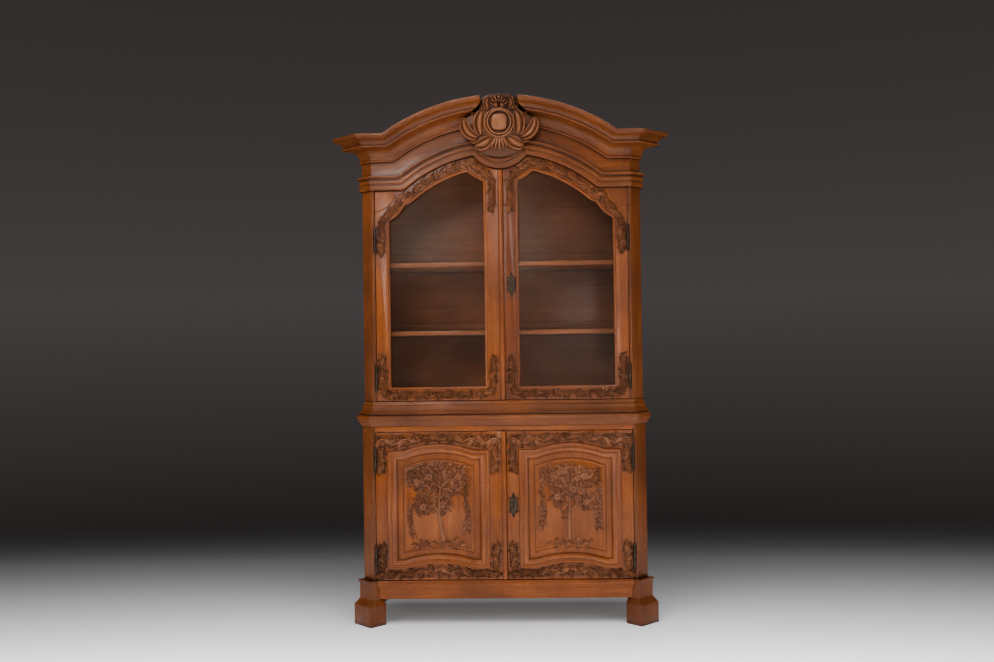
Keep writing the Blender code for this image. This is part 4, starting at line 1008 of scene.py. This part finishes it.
# What grows on each field, in metres from its foot: the trunk's start, heading, length and bend; branches,
# each with its place along the trunk, heading, length and bend; bunches of leaves, each with its centre,
# half width and half height; flowers; and the lines of the garlands
UPRIGHT_TREE = (
    ((-0.004, 0.034), 1.60, 0.240, -0.10),
    ((0.55, 0.50, 0.080, 0.5), (0.62, 2.60, 0.070, -0.5), (0.80, 0.85, 0.110, -0.5),
     (0.82, 2.20, 0.095, 0.4), (1.00, 1.75, 0.080, 0.5), (1.00, 1.15, 0.080, -0.4),
     (0.35, 2.70, 0.045, -1.2)),
    (((-0.006, 0.325), 0.090, 0.050), ((-0.080, 0.305), 0.046, 0.056), ((0.070, 0.310), 0.044, 0.052),
     ((0.070, 0.205), 0.044, 0.036), ((-0.056, 0.222), 0.036, 0.044), ((0.006, 0.250), 0.040, 0.040),
     ((-0.050, 0.012), 0.046, 0.014), ((0.044, 0.012), 0.046, 0.014)),
    ((0.072, 0.202), (-0.058, 0.226), (-0.024, 0.345), (0.064, 0.318), (0.014, 0.262)),
    (((-0.124, 0.362), (-0.131, 0.260), (-0.124, 0.170), (-0.130, 0.080)),
     ((0.124, 0.362), (0.131, 0.260), (0.124, 0.160), (0.130, 0.070))),
)
LEANING_TREE = (
    ((0.024, 0.034), 1.85, 0.240, -0.40),
    ((0.50, 2.70, 0.085, -0.6), (0.56, 0.50, 0.060, 0.8), (0.72, 2.50, 0.100, 0.4),
     (0.78, 0.90, 0.110, -0.6), (1.00, 2.30, 0.100, 0.6), (1.00, 0.80, 0.130, -0.8),
     (1.00, 1.60, 0.070, 0.3)),
    (((-0.024, 0.305), 0.088, 0.058), ((-0.090, 0.310), 0.044, 0.056), ((0.080, 0.322), 0.048, 0.044),
     ((-0.078, 0.190), 0.050, 0.044), ((0.012, 0.200), 0.034, 0.052), ((0.070, 0.260), 0.032, 0.028),
     ((-0.070, 0.014), 0.052, 0.016), ((0.020, 0.016), 0.046, 0.016), ((0.090, 0.010), 0.036, 0.014)),
    ((-0.072, 0.186), (0.014, 0.196), (-0.044, 0.322), (0.090, 0.322), (-0.100, 0.300)),
    (((-0.140, 0.290), (-0.136, 0.340), (-0.100, 0.368), (0.020, 0.374), (0.124, 0.350)),
     ((0.130, 0.300), (0.124, 0.220), (0.131, 0.140), (0.126, 0.062)),
     ((-0.132, 0.170), (-0.128, 0.110), (-0.118, 0.050))),
)
FIELD_RELIEF = 0.0064
TREE_FOOT = 0.022
TRUNK_W = 0.021
BRANCH_W = 0.0085
TWIG_LEAF = 0.034
TWIG_LEAF_W = 0.016
FLOWER_R = 0.022
GARLAND_STEP = 0.021
GARLAND_LEAF = 0.026
GARLAND_BERRY = 0.0048


def garland(bm, lay, length, height):
    """A hanging string of leaves in pairs, with a berry between each two pairs."""
    count = round(length / GARLAND_STEP)
    for i in range(count):
        s = length * (i + 0.3) / count
        for side in (1, -1):
            size = GARLAND_LEAF + by_hand(i * 2 + side, LEAF_SPREAD)
            lean = side * (0.9 + by_hand(i + side, 0.4))
            leaf(bm, lay, (s, side * 0.002), lean, size, size * 0.55, -side * 1.1, height)
        dome(bm, lay, (s, by_hand(i, 0.003)), GARLAND_BERRY, GARLAND_BERRY, height * 1.2, 8)


def carve_tree(bm, front, foot, trunk, branches, bunches, flowers, garlands):
    """A flowering tree on a panel's field, with hanging garlands and a bed of leaves."""
    lay = straight(front, foot, 0)
    for centre, half_s, half_t in bunches:
        bunch(bm, lay, centre, half_s, half_t, FIELD_RELIEF * 0.85)
    for line in garlands:
        hung, length = along(front, [(foot[0] + s, foot[1] + t) for s, t in line])
        garland(bm, hung, length, FIELD_RELIEF)
    at = stroke(*trunk)
    stem(bm, lay, at, TRUNK_W, FIELD_RELIEF * 1.25, 0.5)
    for share, heading, length, bend in branches:
        shoot = stroke(at(share)[:2], heading, length, bend)
        stem(bm, lay, shoot, BRANCH_W, FIELD_RELIEF * 1.15)
        for i in range(1, 5):
            s, t, turn = shoot(i / 4)
            side = 1 if i % 2 else -1
            heading = turn + side * 0.8
            leaf(bm, lay, (s, t), heading, TWIG_LEAF, TWIG_LEAF_W, -side * 0.9, FIELD_RELIEF * 1.1)
    for centre in flowers:
        flower(bm, lay, centre, FLOWER_R, FIELD_RELIEF * 1.15)


for word, side in SIDES:
    rails = [side * panel_left, side * panel_right]
    frame_of_boards(f"lower_{word}_door_frame", rails, OAK_UPRIGHT)
    finish_node(f"lower_{word}_panel", OAK_UPRIGHT, edge=0)
    bm = carving()
    carve_panelled_frame(bm)
    if side < 0:
        mirror_over(bm)
        quirk_shade(bm, lower_front, lower_low.z, lower_high.z)
    foot = (side * panel_mid, panel_low + FIELD_INSET + TREE_FOOT)
    carve_tree(bm, lower_front + FIELD_SINK, foot, *(UPRIGHT_TREE if side > 0 else LEANING_TREE))
    settle(bm, f"lower_{word}_door_carving", f"lower_{word}_door", DOOR_CARVING, CARVED_SHARP)

# Hinges, locks and escutcheons: wrought iron, browned in the fire and oiled.
# Barrel hinges are let into the door edges; a pierced plate is pinned over each keyhole.
IRON_DARK = "#241C15"
IRON_RUBBED = "#5B4B3A"
PIT_MM = 7
PIT_DEPTH = 0.0008
IRON_EDGE = 0.0004


def browned_iron():
    """Forged iron: dark, uneven, and rubbed lighter where hands touch it."""
    material, tree, shader, place = new_material("browned_wrought_iron")
    spots = add_node(tree, "ShaderNodeTexNoise", {"Vector": place, "Scale": per_metre(PIT_MM), "Detail": 5})
    rubbed = add_node(tree, "ShaderNodeMapRange", {0: spots, 1: 0.4, 2: 0.7})
    colour = add_node(
        tree, "ShaderNodeMix", {0: rubbed, 6: linear(IRON_DARK), 7: linear(IRON_RUBBED)}, 2,
        data_type="RGBA",
    )
    tree.links.new(colour, shader.inputs["Base Color"])
    rough = add_node(tree, "ShaderNodeMapRange", {0: spots, 1: 0.3, 2: 0.7, 3: 0.62, 4: 0.4})
    tree.links.new(rough, shader.inputs["Roughness"])
    bump = add_node(tree, "ShaderNodeBump", {"Height": spots, "Strength": 0.3, "Distance": PIT_DEPTH})
    tree.links.new(bump, shader.inputs["Normal"])
    shader.inputs["Metallic"].default_value = 0.85
    return material


PLATE_HALF_W = 0.0205
PLATE_HALF_H = 0.048
PLATE_PROUD = 0.0034
PLATE_LEAF_H = 0.0048
KEYHOLE_R = 0.0040


def plate(bm, lay):
    """A pointed plate with hollow sides, pierced by the keyhole in its middle."""

    def place(u, v):
        turn = 2 * math.pi * u
        across = math.copysign(abs(math.cos(turn)) ** 1.35, math.cos(turn))
        up = math.copysign(abs(math.sin(turn)) ** 1.35, math.sin(turn))
        out = (1 - v) / 2
        s = PLATE_HALF_W * across * out + KEYHOLE_R * math.cos(turn) * (1 - out)
        t = PLATE_HALF_H * up * out + (2 * math.sin(turn) - 1) * KEYHOLE_R * (1 - out)
        return lay(s, t, PLATE_PROUD * half_round(out ** 3)), 1.0

    skin(bm, 48, 8, place)


IRON = browned_iron()
for level in ("upper", "lower"):
    for node in ("lock_case", "lock_bolt"):
        finish_node(f"{level}_{node}", IRON, IRON_EDGE)
    for word in ("left", "right"):
        for height in ("low", "high"):
            for half in ("pin", "knuckle"):
                finish_node(f"{level}_{word}_door_{height}_hinge_{half}", IRON, IRON_EDGE)
    low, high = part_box(f"{level}_escutcheon")
    middle = (low + high) / 2
    on_plate = straight(high.y, (middle.x, middle.z), 0)
    bm = carving()
    plate(bm, on_plate)
    for side in (1, -1):
        for end in (1, -1):
            for start, turn, length, width, curl in (
                ((0.003, 0.026), 0.75, 0.026, 0.011, -1.3), ((0.010, 0.008), 0.25, 0.016, 0.009, 1.4),
                ((0.002, 0.038), 1.45, 0.018, 0.008, 0.3),
            ):
                start, heading, bend = hand(side, (start[0], end * start[1]), end * turn, end * curl)
                leaf(bm, on_plate, start, heading, length, width, bend, PLATE_LEAF_H)
    leaves = settle(bm, f"{level}_escutcheon_leafy", f"{level}_right_door", [IRON])
    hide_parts(f"{level}_escutcheon")

# Floor: a plain pale studio floor, with painted light brightest before the hutch and painted shade behind
# it.
# Its paint is matt, and its far edges melt into the dark surround.
FLOOR_HALF = 9
FLOOR_PAINT = "#F0F0F1"
FLOOR_SHADE = "#131211"
BRIGHT_TO = -0.75
SHADE_FROM = 2.35
FADE_RATE = -4.2
SIDES_FADE = 5.0
SIDES_END = 8.5
BACK_FADE = 1.2
BACK_END = 2.6
floor_mesh = bpy.data.meshes.new("floor")
bm = bmesh.new()
bmesh.ops.create_grid(bm, x_segments=1, y_segments=1, size=FLOOR_HALF)
bm.to_mesh(floor_mesh)
bm.free()
floor = bpy.data.objects.new("floor", floor_mesh)
bpy.context.scene.collection.objects.link(floor)
floor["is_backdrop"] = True
floor_paint, tree, shader, place = new_material("matt_floor_paint")
across = add_node(tree, "ShaderNodeSeparateXYZ", {0: place})
deep = across.node.outputs[1]
# The floor's colour is painted light before the hutch, falling off into painted shade behind it
fall = add_node(tree, "ShaderNodeMapRange", {0: deep, 1: BRIGHT_TO, 2: SHADE_FROM, 3: 0.0, 4: FADE_RATE})
bright = add_node(tree, "ShaderNodeMath", {0: fall}, operation="EXPONENT")
colour = add_node(
    tree, "ShaderNodeMix", {0: bright, 6: linear(FLOOR_SHADE), 7: linear(FLOOR_PAINT)}, 2, data_type="RGBA",
)
tree.links.new(colour, shader.inputs["Base Color"])
across = add_node(tree, "ShaderNodeMath", {0: across}, operation="ABSOLUTE")
sides = add_node(tree, "ShaderNodeMapRange", {0: across, 1: SIDES_FADE, 2: SIDES_END, 3: 1.0, 4: 0.0})
behind = add_node(tree, "ShaderNodeMapRange", {0: deep, 1: BACK_FADE, 2: BACK_END, 3: 1.0, 4: 0.0})
shown = add_node(tree, "ShaderNodeMath", {0: sides, 1: behind}, operation="MINIMUM")
tree.links.new(shown, shader.inputs["Alpha"])
shader.inputs["Roughness"].default_value = 0.8
shader.inputs["Specular IOR Level"].default_value = 0.1
floor_mesh.materials.append(floor_paint)

# Studio: a dark grey surround, lightest at eye level, with one large soft light high on the left and weaker
# ones on the other sides, so that no face is left black. Two small lamps lay a faint sheen on the panes.
BACKDROP_TONES = (
    (0.0, "#1B1918"), (0.40, "#1C1A19"), (0.52, "#474242"), (0.60, "#3D3837"), (0.70, "#322E2D"),
)
world = bpy.data.worlds.new("studio")
world.use_nodes = True
tree = world.node_tree
way = add_node(tree, "ShaderNodeTexCoord", {}, "Generated")
height = add_node(tree, "ShaderNodeSeparateXYZ", {0: way}, 2)
height = add_node(tree, "ShaderNodeMapRange", {0: height, 1: -1.0, 2: 1.0})
tones = add_node(tree, "ShaderNodeValToRGB", {0: height})
stops = tones.node.color_ramp.elements
for i, (spot, code) in enumerate(BACKDROP_TONES):
    stop = stops[i] if i < 2 else stops.new(spot)
    stop.position = spot
    stop.color = linear(code)
tree.links.new(tones, tree.nodes["Background"].inputs["Color"])
bpy.context.scene.world = world
floor_only = bpy.data.collections.new("floor_only")
floor_only.objects.link(floor)
for name, place, aim, size, power, spread in (
    ("key", (-2.9, -4.4, 4.6), (0, 0, 1.2), 4.0, 216, 180),
    ("fill", (3.6, -4.2, 2.4), (0, 0, 1.2), 3.0, 88, 180),
    ("sheen_left", (-1.25, -5.2, 3.05), (-0.5, -0.2, 2.15), 0.9, 5.2, 40),
    ("sheen_right", (1.05, -5.2, 1.02), (0.54, -0.2, 1.14), 0.7, 1.7, 40),
    ("top", (0.0, -2.0, 5.2), (0, 0, 1.2), 2.6, 40, 180),
    ("back", (0.5, 3.4, 5.0), (0, 0, 1.2), 3.0, 170, 180),
    ("floor", (0.0, -1.6, 4.0), (0, -1.2, 0), 3.0, 250, 180),
    ("floor_soft", (0.0, -1.6, 4.0), (0, -1.2, 0), 3.0, 150, 180),
):
    light = bpy.data.lights.new(name, "AREA")
    light.energy = power
    light.size = size
    light.spread = math.radians(spread)
    lamp = bpy.data.objects.new(name, light)
    lamp.location = place
    lamp.rotation_euler = (Vector(aim) - Vector(place)).to_track_quat("-Z", "Y").to_euler()
    bpy.context.scene.collection.objects.link(lamp)
    if name in ("floor", "floor_soft"):
        # These two only brighten the floor, and the soft one also lifts the shadow under the hutch
        lamp.light_linking.receiver_collection = floor_only
        if name == "floor_soft":
            lamp.light_linking.blocker_collection = floor_only

# Camera: about chest high and square to the front, a touch to the right, as the photograph was taken.
# The photograph isn't quite level, so the camera is turned and rolled by about a degree.
CAMERA_PLACE = (0.104, -5.0, 1.278)
CAMERA_YAW = 0.0265
CAMERA_PITCH = 0.0105
CAMERA_ROLL = 0.0135
LENS_MM = 38.34
camera_data = bpy.data.cameras.new("camera")
camera_data.lens = LENS_MM
camera_data.sensor_width = 36
camera = bpy.data.objects.new("camera", camera_data)
turn = Matrix.Rotation(CAMERA_YAW, 4, "Z") @ Matrix.Rotation(CAMERA_PITCH, 4, "X")
turn = turn @ Matrix.Rotation(CAMERA_ROLL, 4, "Y") @ Matrix.Rotation(math.pi / 2, 4, "X")
camera.matrix_world = Matrix.Translation(CAMERA_PLACE) @ turn
bpy.context.scene.collection.objects.link(camera)
bpy.context.scene.camera = camera

low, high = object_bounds()
